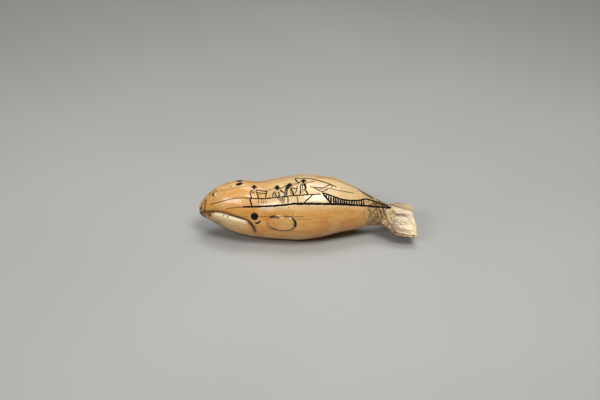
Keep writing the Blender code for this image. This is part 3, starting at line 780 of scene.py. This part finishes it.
def grid_faces(rings):
    """Faces of a closed tube with ends made of strips from its upper half to its lower half."""
    faces = []
    for ring in range(rings - 1):
        here, after = ring * COLUMNS, (ring + 1) * COLUMNS
        for column in range(COLUMNS):
            right = (column + 1) % COLUMNS
            faces.append((here + column, after + column, after + right, here + right))
    half = COLUMNS // 2
    for ring, turned in ((0, False), (rings - 1, True)):
        for column in range(half):
            low, next_low = -column % COLUMNS, -(column + 1) % COLUMNS
            corners = [column, column + 1, next_low, low]
            face = [ring * COLUMNS + corner for corner in dict.fromkeys(corners)]
            faces.append(tuple(face[::-1] if turned else face))
    return faces


def new_piece(name, points, faces, material, sharp=SHARP_DEGREES):
    """Mesh object from points in millimetres, shaded smooth."""
    mesh = bpy.data.meshes.new(name)
    mesh.from_pydata(np.asarray(points) * MM, [], faces)
    mesh.validate()
    mesh.shade_smooth()
    mesh.set_sharp_from_angle(angle=math.radians(sharp))
    mesh.materials.append(material)
    made = bpy.data.objects.new(name, mesh)
    bpy.context.scene.collection.objects.link(made)
    return made


def add_values(made, name, values):
    layer = made.data.attributes.new(name, "FLOAT", "POINT")
    layer.data.foreach_set("value", np.asarray(values, np.float32))


def dark_marks(along, angle):
    """Dark stained spot beside the chip, and small pits here and there on the left side of the head."""
    found = spot(along, angle, CHIP_PLACE, CHIP_STAIN_SIZE, CHIP_STAIN_AHEAD) * CHIP_DARKNESS
    for at, tilt, radius, dark in MARKS:
        found = np.maximum(found, spot(along, angle, (at, tilt), (radius, radius)) * dark)
    return found


def smears_and_chin_shade(points):
    """Brown and black that lie along each smear at each point of the skin: rubbed-in grime, and painted shade
    along the chin's underside.
    """
    brown, black = np.zeros((2, len(points)))
    for half_width, strength, blackness, places in SMEARS_AND_CHIN_SHADE:
        along, tilt = skin_path(np.reshape(places, (-1, 2)))
        for side, share in ((-1, 1.0), (1, FAR_SMEARS)):
            if side > 0 and places[0] > KNURL_RUN[0]:
                continue
            line = skin(along, side_angle(tilt, side))[0]
            rubbed = share * np.maximum(0.0, 1 - (nearest(points, line)[0] / half_width) ** 2)
            brown = np.maximum(brown, strength * rubbed**SOFT_EDGE)
            black = np.maximum(black, blackness * rubbed)
    return brown, black


def dirt_and_shade(along, angle, below, worn, score):
    """Share of brown: grime on the worn snout, the chin, the mouth's corner and the rim and root of the
    flukes, and darker brown in the valleys beside the tail's ridge and under the flukes.
    """
    across, upper = np.abs(np.cos(angle)), np.sin(angle) > 0
    chin = CHIN_DIRT[0] * (1 - ease(along, *CHIN_DIRT[1])) * ease(below, *CHIN_DIRT[2])
    corner = CORNER_DIRT[0] * (1 - ease(along, *CORNER_DIRT[1])) * between(below, *CORNER_DIRT[2])
    rim, root = (
        strength * between(across, *outward_steps) * between(along, *steps)
        for strength, outward_steps, steps in (RIM_DIRT, ROOT_DIRT)
    )
    valley = VALLEY_BROWN[0] * between(across, *VALLEY_BROWN[1]) * ease(along, *VALLEY_BROWN[2])
    top = upper * np.maximum.reduce((rim, root, valley))
    under = ~upper * UNDER_FLUKE_BROWN[0] * ease(along, *UNDER_FLUKE_BROWN[1])
    return np.maximum.reduce((WORN_DIRT * worn, SCORE_DIRT * score, chin, corner, top, under))


def amber_and_shade_share(along, angle, below):
    """Share of amber: patina on the head, patina and painted shade low on the sides, painted shade on the far
    side of the back; less on the jaw and the tail.
    """
    tilt, upper = tilt_of(angle), np.sin(angle) > 0
    strength, head, crown, crown_steps = HEAD_AMBER
    head = strength * (1 - ease(along, *head)) * (1 - crown * ease(tilt, *crown_steps))
    far = FAR_SIDE_SHADE[0] * upper * (1 - ease(np.degrees(angle), *FAR_SIDE_SHADE[1]))
    amber_and_shade = np.maximum.reduce((1 - ease(tilt, *SIDE_AMBER_AND_SHADE), head, far))
    jaw = between(below, *JAW_PALE[1]) * between(along, *JAW_PALE[2])
    return amber_and_shade * (1 - JAW_PALE[0] * jaw) * (1 - ease(along, *AMBER_END))


def make_skin(material):
    """Skin of the whole carving, with its gouges, knurling, scratches and the values its finish needs."""
    places = ring_places()
    along = np.repeat(places, COLUMNS)
    angle = column_angles(places).ravel()
    points, out = skin(along, angle)

    below = below_mouth(along, angle)
    lip_side = 1 - LIP_CLEAN[0] * between(below, *LIP_CLEAN[1]) * (1 - ease(along, *LIP_CLEAN[2]))
    stain_and_shade, halo, depth = np.zeros((3, len(points)))
    for side in (-1, 1):
        cuts = (
            (mouth_path(side), MOUTH_GOUGE, (False, True), lip_side),
            (flipper_path(side), FLIPPER_GOUGE, (True, True), FLIPPER_DARKNESS),
            (tail_groove_path(side), TAIL_GOUGE, (True, True), TAIL_DARKNESS),
        )
        for line, (half_width, deep), tapered, darkness in cuts:
            cut, beside = gouge(points, line, half_width, tapered)
            depth = np.maximum(depth, cut * deep)
            stain_and_shade = np.maximum(stain_and_shade, cut * darkness)
            halo = np.maximum(halo, beside * darkness)
    brown, black = smears_and_chin_shade(points)
    strokes = knurl(along, angle)
    fine = scratches(along, points, angle)
    behind = muzzle(along, angle)
    score = np.maximum(0.0, 1 - (behind / MUZZLE_SCORE[0]) ** 2)
    dent = spot(along, angle, CHIP_PLACE, CHIP_SIZE)
    depth = np.maximum.reduce((depth, strokes, fine, score * MUZZLE_SCORE[1])) + CHIP_DEPTH * dent
    points = points - out * depth[:, None]
    points[:, 0] = np.minimum(points[:, 0], LENGTH / 2 - END_INSET)
    points[:, 2] = np.maximum(0.0, points[:, 2] - FLAT_DEPTH)

    tilt = tilt_of(angle)
    worn = 1 - ease(behind, *MUZZLE_FADE)
    stain_and_shade = stain_and_shade * (FAINT_STAIN[0] + (1 - FAINT_STAIN[0]) * ease(along, *FAINT_STAIN[1]))
    # The stain and dirt values also carry painted shade along the chin's underside, the amber value painted
    # shade on the sides and the far side of the back, and the pale value a painted highlight on the lip.
    values = {
        "stain_and_shade": np.maximum.reduce((stain_and_shade, black, dark_marks(along, angle))),
        "halo": halo,
        "cavity": np.maximum(strokes / KNURL_DEPTH[1], fine / SCRATCH_DEPTH[1]),
        "stock": between(along, *STOCK_TINT),
        "fluke": ease(along, *FLUKE_TINT),
        "amber_and_shade": amber_and_shade_share(along, angle, below),
        "belly": 1 - ease(tilt, *BELLY_SHADE),
        "dirt_and_shade": np.maximum(brown, dirt_and_shade(along, angle, below, worn, score)),
        "worn": worn,
        "lip_pale_and_highlight": between(below, *LIP_PALE_AND_HIGHLIGHT[0]) * between(along, *LIP_PALE_AND_HIGHLIGHT[1]),
        "blush": between(along, *CHEEK_BLUSH[0]) * between(tilt, *CHEEK_BLUSH[1]),
        "chip": dent,
    }
    made = new_piece("whale", points, grid_faces(len(places)), material)
    for name, shares in values.items():
        add_values(made, name, shares)
    return made


class Engraving:
    """Ink strokes, laid out on the leaning plane of one side of the whale."""

    def __init__(self, side, seed):
        self.side = side
        self.rng = np.random.default_rng(seed)
        self.strokes = []

    def line(self, points, width, tone=1.0, ends=PLAIN_ENDS):
        """A stroke through the points. Its ends are this share of its width."""
        self.strokes.append((points, width, tone, ends))

    def draw(self, strokes, at=(0.0, 0.0)):
        """A table of strokes, moved by the place."""
        for width, tone, places, *ends in strokes:
            self.line(np.reshape(places, (-1, 2)) + at, width, tone, *ends)

    def rails(self):
        """Left edge, crown, right edge and root of every stroke, with its tone."""
        sections, tones = [], []
        for points, width, tone, ends in self.strokes:
            path, share = smooth_path(points, INK_SPACING)
            count = len(path)
            run = share * count * INK_SPACING
            phases = self.rng.uniform(0, 2 * math.pi, 4)
            wander, swell = (
                np.sin(run * waves[0] + phase[0]) * np.sin(run * waves[1] + phase[1])
                for waves, phase in ((WANDER_WAVES, phases[:2]), (SWELL_WAVES, phases[2:]))
            )
            wander, wide = INK_WANDER * wander, INK_WEIGHT * width * (1 + INK_UNEVEN * swell)
            first, last = ends[0] + run / (2 * width), ends[1] + (run[-1] - run) / (2 * width)
            wide = wide * np.clip(np.minimum(first, last), THINNEST, 1.0)
            sections.append(self.on_skin(path + np.stack((0 * wander, wander), 1), wide))
            tones.append(np.full((count, 4), tone))
        return sections, tones

    def height(self, along, tilt):
        """Height on the plane of a place on the body."""
        lean = math.radians(PLANE_LEAN)
        place = bare_point(along, side_angle(tilt, self.side))
        return place[..., 2] * math.cos(lean) - self.side * place[..., 1] * math.sin(lean)

    def on_skin(self, path, width):
        """Cross-sections of one stroke, carried from the plane onto the skin."""
        along = (path[:, 0] + LENGTH / 2) / (LENGTH - LEFT_TIP_SWEEP)
        tilts = np.linspace(*TILT_RANGE, CREST_STEPS)
        heights = self.height(along[:, None], tilts[None])
        low, high = np.full(len(path), TILT_RANGE[0]), tilts[heights.argmax(1)]
        wanted = np.minimum(path[:, 1], heights.max(1) - CREST_MARGIN)
        for _ in range(HALVINGS):
            middle = (low + high) / 2
            above = self.height(along, middle) > wanted
            low, high = np.where(above, low, middle), np.where(above, middle, high)
        points, out = skin(along, side_angle((low + high) / 2, self.side))
        forward = np.gradient(points, axis=0)
        forward /= np.maximum(1e-9, np.linalg.norm(forward, axis=1, keepdims=True))
        across = np.cross(out, forward)
        across /= np.maximum(1e-9, np.linalg.norm(across, axis=1, keepdims=True))
        reach = across * width[:, None] / 2
        rails = (
            points - reach + out * INK_EDGE_PROUD,
            points + out * INK_PROUD,
            points + reach + out * INK_EDGE_PROUD,
            points - out * INK_KEY,
        )
        return np.stack(rails, axis=1)


def waterline(drawing):
    """Heavy line along the side, which starts faint on the head and ends on the tail stock."""
    drawing.line(WATERLINE_START, 0.36, 0.60)
    drawing.line(WATERLINE, 0.88, 1.0, (0.2, 0.3))
    drawing.line([(x, v - 0.12) for x, v in WATERLINE[4:8]], 0.95)


def band(drawing, height=1.0):
    """Hatched band between the waterline and a waving upper line, which gives way to pits on the tail."""
    tops, bottoms, fronts = np.array(BAND_TOP), np.array(WATERLINE), np.array(BAND_FRONT)
    for line in (tops, fronts):
        floor = np.interp(line[:, 0], *bottoms.T)
        line[:, 1] = floor + height * (line[:, 1] - floor)
    drawing.line(tops, BAND_TOP_WIDTH)
    drawing.line(fronts, BAND_FRONT_WIDTH)
    rng = drawing.rng
    x = BAND_TOP[0][0] + HATCH_MARGINS[0]
    while x < BAND_TOP[-1][0] - HATCH_MARGINS[1]:
        pitted = x > PITS_START
        top = np.interp(x, *tops.T)
        bottom = np.interp(x, *bottoms.T)
        if x < BAND_FRONT[-1][0]:
            bottom = max(bottom, np.interp(x, *fronts.T))
        lean = rng.uniform(-HATCH_LEAN, HATCH_LEAN)
        broad, low, high = rng.uniform(*HATCH_WIDTH), bottom - HATCH_OVERLAP, top + HATCH_OVERLAP
        if pitted:
            low = bottom + (top - bottom) * rng.uniform(*PIT_PLACE)
            high = min(top, low + rng.uniform(*PIT_LENGTH))
            broad = PIT_NARROWING * broad
        if high - low > SHORTEST_STROKE:
            line = [(x - lean, low), (x + lean / 2, (low + high) / 2), (x + lean, high)]
            drawing.line(line, broad, PIT_TONE if pitted else 1.0)
        if x < BAND_FRONT[-1][0] + 2 and rng.uniform() < CROSS_SHARE:
            mid = bottom + (top - bottom) * rng.uniform(0.3, 0.8)
            drawing.line([(x - 0.5, mid), (x + 0.6, mid + rng.uniform(-0.4, 0.4))], CROSS_WIDTH)
        x += rng.uniform(*(PIT_SPACING if pitted else HATCH_SPACING))


def figure(drawing, strokes, at, size=1.0):
    """Man under a broad-brimmed hat, the middle of whose brim is at the place."""
    x, v = at
    brim = [(x - 1.6 * size, v - 0.15), (x, v), (x + 1.6 * size, v - 0.1)]
    drawing.line(brim, 0.95 * size, 1.0, (0.5, 0.5))
    drawing.line([(x - 0.8 * size, v + 0.45), (x + 0.85 * size, v + 0.5)], 1.35 * size, 1.0, (0.8, 0.8))
    drawing.line([(x - 0.15, v - 0.3), (x - 0.05, v - 1.3)], 1.0 * size, 0.95, (0.8, 0.6))
    drawing.draw(strokes, at)


def little_whale(drawing):
    """Small whale off the bow, hatched with short strokes, with a line that trails from its tail."""
    drawing.draw(LITTLE_WHALE, LITTLE_WHALE_AT)
    x, v = LITTLE_WHALE_AT
    for step in range(WHALE_HATCHES):
        at = x + 0.6 + step * 0.7
        drawing.line([(at, v + 0.1 - 0.1 * (step % 3)), (at + 0.7, v - 0.8)], 0.34, 0.6)
    drawing.draw(TOWED_LINE, LITTLE_WHALE_AT)


def boat(drawing):
    """Open boat on the waterline with its planks, ribs and crew, and the whale that they are after."""
    drawing.line(GUNWALE_START, 0.34, 0.75)
    drawing.line(GUNWALE, 0.56, 1.0, (0.3, 0.15))
    drawing.draw(BOAT)
    for step, x in enumerate(RIBS):
        drawing.line([(x, 18.9), (x + 0.1, 17.4), (x - 0.1, 16.1 + 0.2 * step)], 0.44, 0.30)
    for step in range(SHADING_LINES):
        v = 19.2 - 0.45 * step
        drawing.line([(-16.2 + 0.5 * step, v), (-12.0, v + 0.1)], 0.28, 0.5)
    figure(drawing, ROWER, ROWER_AT)
    figure(drawing, PULLER, PULLER_AT, 1.1)
    figure(drawing, LANCER, LANCER_AT, 1.05)
    figure(drawing, THROWER, THROWER_AT, 1.1)
    little_whale(drawing)


def make_engraving(material):
    """All ink strokes of both sides as one piece, keyed into the skin."""
    left = Engraving(-1, LEFT_SEED)
    waterline(left)
    band(left)
    boat(left)
    left.draw(THIN_LINES + EYE_STROKES)
    right = Engraving(1, RIGHT_SEED)
    waterline(right)
    band(right, RIGHT_BAND)
    right.line(GUNWALE_START, 0.26, 0.5)
    right.line(GUNWALE, 0.36, 0.8)
    right.draw(EYE_STROKES)

    points, faces, tones = [], [], []
    for drawing in (left, right):
        for section, shade in zip(*drawing.rails()):
            first = sum(len(part) for part in points)
            count = len(section)
            for here in range(first, first + 4 * (count - 1), 4):
                for rail in range(4):
                    beside = (rail + 1) % 4
                    faces.append((here + rail, here + 4 + rail, here + 4 + beside, here + beside))
            faces.append(tuple(range(first, first + 4)))
            faces.append(tuple(range(first + 4 * count - 1, first + 4 * count - 5, -1)))
            points.append(section.reshape(-1, 3))
            tones.append(shade.ravel())
    points = np.concatenate(points)
    points[:, 2] -= FLAT_DEPTH
    made = new_piece("engraving", points, faces, material, INK_SHARP_DEGREES)
    add_values(made, "tone", np.concatenate(tones))
    return made


def plug_points(outline, place, out, yaw, size):
    """Turned plug on the skin. The outline is (share of its half size, height) from the top's middle down."""
    up = out / np.linalg.norm(out)
    across = np.cross(up, (1.0, 0.0, 0.0))
    across /= np.linalg.norm(across)
    forward = np.cross(across, up)
    turn = 2 * math.pi * np.arange(PLUG_SIDES) / PLUG_SIDES
    yaw = math.radians(yaw)
    points = [place + up * outline[0][1]]
    for share, height in outline[1:-1]:
        u = share * size[0] / 2 * np.cos(turn)
        v = share * size[1] / 2 * np.sin(turn)
        lengthways = u * math.cos(yaw) - v * math.sin(yaw)
        sideways = u * math.sin(yaw) + v * math.cos(yaw)
        points.extend(place + lengthways[:, None] * forward + sideways[:, None] * across + height * up)
    points.append(place + up * outline[-1][1])
    return np.array(points)


def plug_faces(rings):
    """Faces of a turned form with a point at each end."""
    last = 1 + rings * PLUG_SIDES
    low = last - PLUG_SIDES
    faces = []
    for column in range(PLUG_SIDES):
        right = (column + 1) % PLUG_SIDES
        faces.append((0, 1 + column, 1 + right))
        for here in range(1, low, PLUG_SIDES):
            below = here + PLUG_SIDES
            faces.append((here + column, below + column, below + right, here + right))
        faces.append((low + column, last, low + right))
    return faces


def make_plug(name, along, angle, yaw, size, outline, material):
    """Plug with the dark wax that half fills the gap round it."""
    size = [across + 2 * SEAM_FILL for across in size]
    place, out = skin(np.array([along]), np.array([angle]))
    place[0, 2] -= FLAT_DEPTH
    points = plug_points(outline, place[0], out[0], yaw, size)
    return new_piece(name, points, plug_faces(len(outline) - 2), material, PLUG_SHARP_DEGREES)


def eye_outline():
    """Shallow dome with a softened rim, and a straight side."""
    turns = [math.pi / 2 * step / DOME_STEPS for step in range(1, DOME_STEPS + 1)]
    dome = [(math.sin(turn), EYE_DOME * math.cos(turn)) for turn in turns]
    return [(0.0, EYE_DOME)] + dome + [(1.0, -EYE_DEPTH), (0.0, -EYE_DEPTH)]


def blowhole_outline():
    """Nearly flat top with a worn rim, and a straight side."""
    rim = [(share, BLOWHOLE_RISE * height) for share, height in BLOWHOLE_RIM]
    return rim + [(1.0, BLOWHOLE_SHOULDER), (1.0, -BLOWHOLE_DEPTH), (0.0, -BLOWHOLE_DEPTH)]


def blowhole_angle(side):
    """Angle round the section that puts a blowhole half the spacing from the middle line."""
    half_width = float(profile(WIDTH_LINE, np.array(BLOWHOLE_AT))) * BODY_WIDTH / 2
    crown = half_width * (1 - float(profile(CROWN_LINE, np.array(BLOWHOLE_AT))))
    return math.acos(side * BLOWHOLE_SPACING / 2 / crown)


def make_inlays(material):
    """Eyes and blowholes. Returns each piece with the node that it stands for."""
    made = []
    for name, side in (("left", -1), ("right", 1)):
        hole = (blowhole_angle(side), -side * BLOWHOLE_YAW, (BLOWHOLE_LENGTH, BLOWHOLE_WIDTH))
        plugs = (
            ("eye", EYE_AT, side_angle(EYE_TILT, side), 0.0, (EYE_DIAMETER, EYE_DIAMETER), eye_outline()),
            ("blowhole", BLOWHOLE_AT, *hole, blowhole_outline()),
        )
        for kind, *shape in plugs:
            made.append((make_plug(f"{kind}_{name}", *shape, material), f"{kind}_inlay_{name}"))
    return made


class Nodes:
    """Short ways to add nodes to a material."""

    def __init__(self, name):
        self.material = bpy.data.materials.new(name)
        self.material.use_nodes = True
        self.tree = self.material.node_tree
        self.shader = self.tree.nodes["Principled BSDF"]

    def link(self, value, socket):
        if isinstance(value, bpy.types.NodeSocket):
            self.tree.links.new(value, socket)
        else:
            socket.default_value = value

    def add(self, kind, inputs=None, **settings):
        """A node with its settings, and the values or links of its inputs."""
        node = self.tree.nodes.new(kind)
        for key, value in settings.items():
            setattr(node, key, value)
        for key, value in (inputs or {}).items():
            self.link(value, node.inputs[key])
        return node

    def surface(self, **values):
        """Set or link the shader's inputs, and return the material."""
        for key, value in values.items():
            self.link(value, self.shader.inputs[key.replace("_", " ")])
        return self.material

    def value(self, name):
        return self.add("ShaderNodeAttribute", attribute_name=name).outputs["Fac"]

    def noise(self, scale, detail=3.0, rough=0.5, stretch=(1.0, 1.0, 1.0), bend=0.0):
        """Noise that lies on the object, squeezed so that it can run lengthwise."""
        place = self.add("ShaderNodeTexCoord").outputs["Object"]
        place = self.add("ShaderNodeMapping", {"Scale": stretch, "Vector": place}).outputs["Vector"]
        inputs = {"Vector": place, "Scale": scale, "Detail": detail, "Roughness": rough, "Distortion": bend}
        return self.add("ShaderNodeTexNoise", inputs).outputs["Fac"]

    def math(self, operation, a, b, clamp=False):
        return self.add("ShaderNodeMath", {0: a, 1: b}, operation=operation, use_clamp=clamp).outputs[0]

    def times(self, a, b, clamp=False):
        return self.math("MULTIPLY", a, b, clamp)

    def step(self, value, low, high, bottom=0.0, top=1.0):
        inputs = {"Value": value, "From Min": low, "From Max": high, "To Min": bottom, "To Max": top}
        return self.add("ShaderNodeMapRange", inputs, interpolation_type="SMOOTHSTEP").outputs["Result"]

    def mix(self, factor, a, b, blend="MIX"):
        inputs = {"Factor": factor, 6: a, 7: b}
        return self.add("ShaderNodeMix", inputs, data_type="RGBA", blend_type=blend).outputs[2]

    def bump(self, height, strength, distance, under=None):
        inputs = {"Strength": strength, "Distance": distance, "Height": height}
        if under:
            inputs["Normal"] = under
        return self.add("ShaderNodeBump", inputs).outputs["Normal"]


CREAM = (0.88, 0.64, 0.35, 1.0)
HONEY = (0.83, 0.54, 0.23, 1.0)
AMBER_AND_SHADE = (0.76, 0.375, 0.080, 1.0)
RUST = (0.70, 0.26, 0.028, 1.0)
BELLY_SHADE_UMBER = (0.50, 0.26, 0.060, 1.0)
KNURLED = (0.60, 0.385, 0.145, 1.0)
PALE_FLUKE = (0.87, 0.71, 0.46, 1.0)
PALE_FLECK_AND_LIP_HIGHLIGHT = (0.98, 0.86, 0.55, 1.0)
GROOVE_BROWN = (0.125, 0.055, 0.012, 1.0)
DIRT_AND_SHADE_BROWN = (0.170, 0.070, 0.014, 1.0)
DEEP_BROWN = (0.060, 0.020, 0.006, 1.0)
CHIP_WHITE = (0.92, 0.88, 0.82, 1.0)

# Noises of the ivory, as scale, detail, roughness, stretch and bend
CLOUD = (55.0, 4.0, 0.55, (0.55, 1.0, 1.0), 0.6)
PATCH = (120.0, 3.0, 0.5, (0.5, 1.0, 1.0), 1.0)
GRAIN = (900.0, 4.0, 0.6, (0.09, 1.0, 1.0), 0.2)
FINE_GRAIN = (2600.0, 3.0, 0.6, (0.25, 1.0, 1.0))
SPECK = (1500.0, 2.0, 0.6)
GRIME = (650.0, 4.0, 0.7)
FLECK = (1000.0, 3.0, 0.6, (1.0, 1.0, 1.0), 0.5)
SCORED = (1500.0, 3.0, 0.55, (0.10, 1.0, 1.0), 0.4)

# How strongly each tint and wear shows
RUST_SHARE = 0.72
BELLY_SHADE_SHARE = 0.56
LIP_HIGHLIGHT_SHARE = 0.95
SCORED_SHARE = 0.75
WORKED_ROUGHNESS = 0.10
CAVITY_ROUGHNESS = 0.15


def ivory_material():
    """Polished old tooth: honey to amber, grained lengthwise, stained in its cuts, with painted shade low on
    its sides, on its far side, underside and chin, and a painted highlight on its lower lip.
    """
    n = Nodes("ivory")
    cloud, patch, grain, fine, speck, grime, fleck, scored = (
        n.noise(*numbers) for numbers in (CLOUD, PATCH, GRAIN, FINE_GRAIN, SPECK, GRIME, FLECK, SCORED)
    )
    colour = n.mix(n.step(cloud, 0.35, 0.68), CREAM, HONEY)
    # Amber patina on the head, amber and painted shade low on the sides, painted shade on the far side of the
    # back; rust-coloured patches follow the same share.
    colour = n.mix(n.times(n.value("amber_and_shade"), n.step(cloud, 0.25, 0.62, 0.72, 1.0)), colour, AMBER_AND_SHADE)
    rust = n.times(n.times(n.step(patch, 0.45, 0.62), n.value("amber_and_shade")), RUST_SHARE)
    cheek = n.times(n.value("blush"), n.step(patch, 0.36, 0.58, 0.2, 0.9))
    colour = n.mix(n.math("MAXIMUM", rust, cheek), colour, RUST)
    # Umber towards the underside is painted shade.
    colour = n.mix(n.times(n.value("belly"), BELLY_SHADE_SHARE), colour, BELLY_SHADE_UMBER)
    colour = n.mix(1.0, colour, n.step(grain, 0.30, 0.70, 0.86, 1.07), "MULTIPLY")

    fleck = n.times(n.value("worn"), n.step(fleck, 0.52, 0.60, 0.0, 0.75))
    # Pale lip: its cream colour and a painted highlight along its top edge; worn flecks on the snout take the
    # same pale colour.
    colour = n.mix(n.math("MAXIMUM", n.times(n.value("lip_pale_and_highlight"), LIP_HIGHLIGHT_SHARE), fleck), colour, PALE_FLECK_AND_LIP_HIGHLIGHT)
    colour = n.mix(n.times(n.value("fluke"), n.step(patch, 0.30, 0.65, 1.0, 0.72)), colour, PALE_FLUKE)
    scored = n.times(n.step(scored, 0.56, 0.68), n.value("fluke"))
    colour = n.mix(n.times(scored, SCORED_SHARE), colour, KNURLED)
    colour = n.mix(n.times(n.value("stock"), n.step(grime, 0.30, 0.60, 0.5, 0.95)), colour, KNURLED)
    halo = n.times(n.value("halo"), n.step(grime, 0.35, 0.62, 0.70, 1.2), True)
    colour = n.mix(halo, colour, DIRT_AND_SHADE_BROWN)
    cavity = n.times(n.step(n.value("cavity"), 0.10, 0.75), n.step(grime, 0.25, 0.55, 0.7, 1.0), True)
    colour = n.mix(cavity, colour, GROOVE_BROWN)
    # Brown dirt where the dirt value is, with painted shade along the chin's underside.
    dirt_and_shade_mask = n.times(n.value("dirt_and_shade"), n.step(grime, 0.38, 0.58, 0.50, 1.0), True)
    colour = n.mix(dirt_and_shade_mask, colour, DIRT_AND_SHADE_BROWN)
    colour = n.mix(n.step(speck, 0.715, 0.760, 0.0, 0.6), colour, GROOVE_BROWN)
    colour = n.mix(n.step(n.value("chip"), 0.12, 0.38), colour, CHIP_WHITE)
    # Deep brown in stains, marks and cut lines, and near-black painted shade along the chin's underside.
    stain_and_shade = n.times(n.value("stain_and_shade"), n.step(grime, 0.34, 0.60, 0.80, 1.15))
    colour = n.mix(n.step(stain_and_shade, 0.15, 0.80), colour, DEEP_BROWN)

    worked = n.math("MAXIMUM", n.value("stock"), n.value("fluke"))
    roughness = n.math("ADD", n.step(cloud, 0.3, 0.7, 0.27, 0.38), n.times(worked, WORKED_ROUGHNESS))
    roughness = n.math("ADD", roughness, n.times(n.value("cavity"), CAVITY_ROUGHNESS), True)
    normal = n.bump(grain, 0.14, 0.00010, n.bump(fine, 0.10, 0.00005))
    normal = n.bump(n.times(speck, worked), 0.30, 0.00015, normal)
    return n.surface(
        Base_Color=colour, Roughness=roughness, Normal=normal, IOR=1.54,
        Subsurface_Weight=0.14, Subsurface_Radius=(1.0, 0.55, 0.28), Subsurface_Scale=0.0022,
        Coat_Weight=0.50, Coat_Roughness=0.06, Coat_IOR=1.5,
    )


INK_BLACK = (0.0025, 0.0018, 0.0016, 1.0)
INK_WORN = (0.020, 0.011, 0.007, 1.0)
INK_FAINT = (0.36, 0.21, 0.09, 1.0)


def ink_material():
    """Lampblack rubbed into the cuts: black in deep strokes, brown and thin in faint ones."""
    n = Nodes("ink")
    worn = n.noise(1300.0, 4.0, 0.65)
    dark = n.mix(n.step(worn, 0.45, 0.72), INK_BLACK, INK_WORN)
    return n.surface(
        Base_Color=n.mix(n.step(n.value("tone"), 0.15, 0.95), INK_FAINT, dark),
        Roughness=n.step(worn, 0.3, 0.7, 0.55, 0.75),
        Normal=n.bump(worn, 0.3, 0.00008), IOR=1.3, Specular_IOR_Level=0.3,
    )


INLAY_BLACK = (0.0020, 0.0020, 0.0028, 1.0)
INLAY_WORN = (0.010, 0.009, 0.010, 1.0)


def inlay_material():
    """Polished black inlay with faint wear."""
    n = Nodes("black_inlay_finish")
    cloud = n.noise(1500.0, 3.0, 0.6)
    scratch = n.noise(5200.0, 2.0, 0.6, (0.15, 1.0, 1.0))
    return n.surface(
        Base_Color=n.mix(n.step(cloud, 0.45, 0.75), INLAY_BLACK, INLAY_WORN),
        Roughness=n.step(scratch, 0.3, 0.7, 0.30, 0.44),
        Normal=n.bump(scratch, 0.08, 0.00004), IOR=1.42, Specular_IOR_Level=0.35,
    )


FLOOR_GREY = (0.455, 0.453, 0.436, 1.0)
FLOOR_LIGHT = (0.480, 0.478, 0.460, 1.0)
FLOOR_SIZE = 6.0


def make_floor():
    """Plain seamless paper."""
    n = Nodes("paper")
    material = n.surface(
        Base_Color=n.mix(n.step(n.noise(6.0, 2.0, 0.5), 0.3, 0.7), FLOOR_GREY, FLOOR_LIGHT),
        Normal=n.bump(n.noise(2500.0, 2.0), 0.05, 0.0001), Roughness=0.85, IOR=1.4,
    )
    half = FLOOR_SIZE / 2 / MM
    corners = [(-half, -half, 0.0), (half, -half, 0.0), (half, half, 0.0), (-half, half, 0.0)]
    return new_piece("floor", corners, [(0, 1, 2, 3)], material)


TARGET = Vector((-0.0042, 0.0, 0.02096))


def direction(azimuth, elevation):
    """From the object towards a viewer. Azimuth 0 is the whale's left side, and 90 is beyond its tail."""
    turn, rise = math.radians(azimuth), math.radians(elevation)
    return Vector((math.sin(turn) * math.cos(rise), -math.cos(turn) * math.cos(rise), math.sin(rise)))


def aim(name, data, azimuth, elevation, distance, roll=0.0):
    """Object with this data, that far from the target in this direction, and turned towards it."""
    made = bpy.data.objects.new(name, data)
    towards = direction(azimuth, elevation)
    made.location = TARGET + towards * distance
    turn = towards.to_track_quat("Z", "Y") @ Quaternion((0.0, 0.0, 1.0), math.radians(roll))
    made.rotation_euler = turn.to_euler()
    bpy.context.scene.collection.objects.link(made)
    return made


# Softboxes, as name, size in metres, watts, azimuth, elevation, distance and roll
SOFTBOXES = (
    ("left_softbox", (0.62, 0.24), 0.50, -40.0, 35.0, 1.1, 26.0),
    ("right_softbox", (0.48, 0.40), 0.88, 27.0, 58.0, 1.1, 0.0),
    ("top_softbox", (1.0, 0.7), 1.14, 150.0, 75.0, 1.2, 0.0),
)
LIGHT_SPREAD = 60.0
AMBIENT = 0.020
AMBIENT_COLOUR = (1.0, 0.95, 0.87, 1.0)


def make_lights():
    for name, size, watts, *place in SOFTBOXES:
        light = bpy.data.lights.new(name, "AREA")
        light.shape = "RECTANGLE"
        light.size, light.size_y = size
        light.energy = watts
        light.spread = math.radians(LIGHT_SPREAD)
        aim(name, light, *place)
    world = bpy.data.worlds.new("studio")
    world.use_nodes = True
    background = world.node_tree.nodes["Background"]
    background.inputs["Color"].default_value = AMBIENT_COLOUR
    background.inputs["Strength"].default_value = AMBIENT
    bpy.context.scene.world = world


CAMERA_LENS = 90.0
CAMERA_SENSOR = 36.0
CAMERA_DISTANCE = 0.79125
CAMERA_ELEVATION = 30.0


def make_camera():
    camera = bpy.data.cameras.new("camera")
    camera.lens = CAMERA_LENS
    camera.sensor_width = CAMERA_SENSOR
    bpy.context.scene.camera = aim("camera", camera, 0.0, CAMERA_ELEVATION, CAMERA_DISTANCE)


def main():
    make_camera()
    make_lights()
    whale = make_skin(ivory_material())
    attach(whale, "root")
    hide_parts("ivory_whale")

    engraving = make_engraving(ink_material())
    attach(engraving, "root")

    for inlay, node in make_inlays(inlay_material()):
        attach(inlay, "root")
        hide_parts(node)

    make_floor()
    bpy.context.scene.view_settings.view_transform = "Standard"


main()
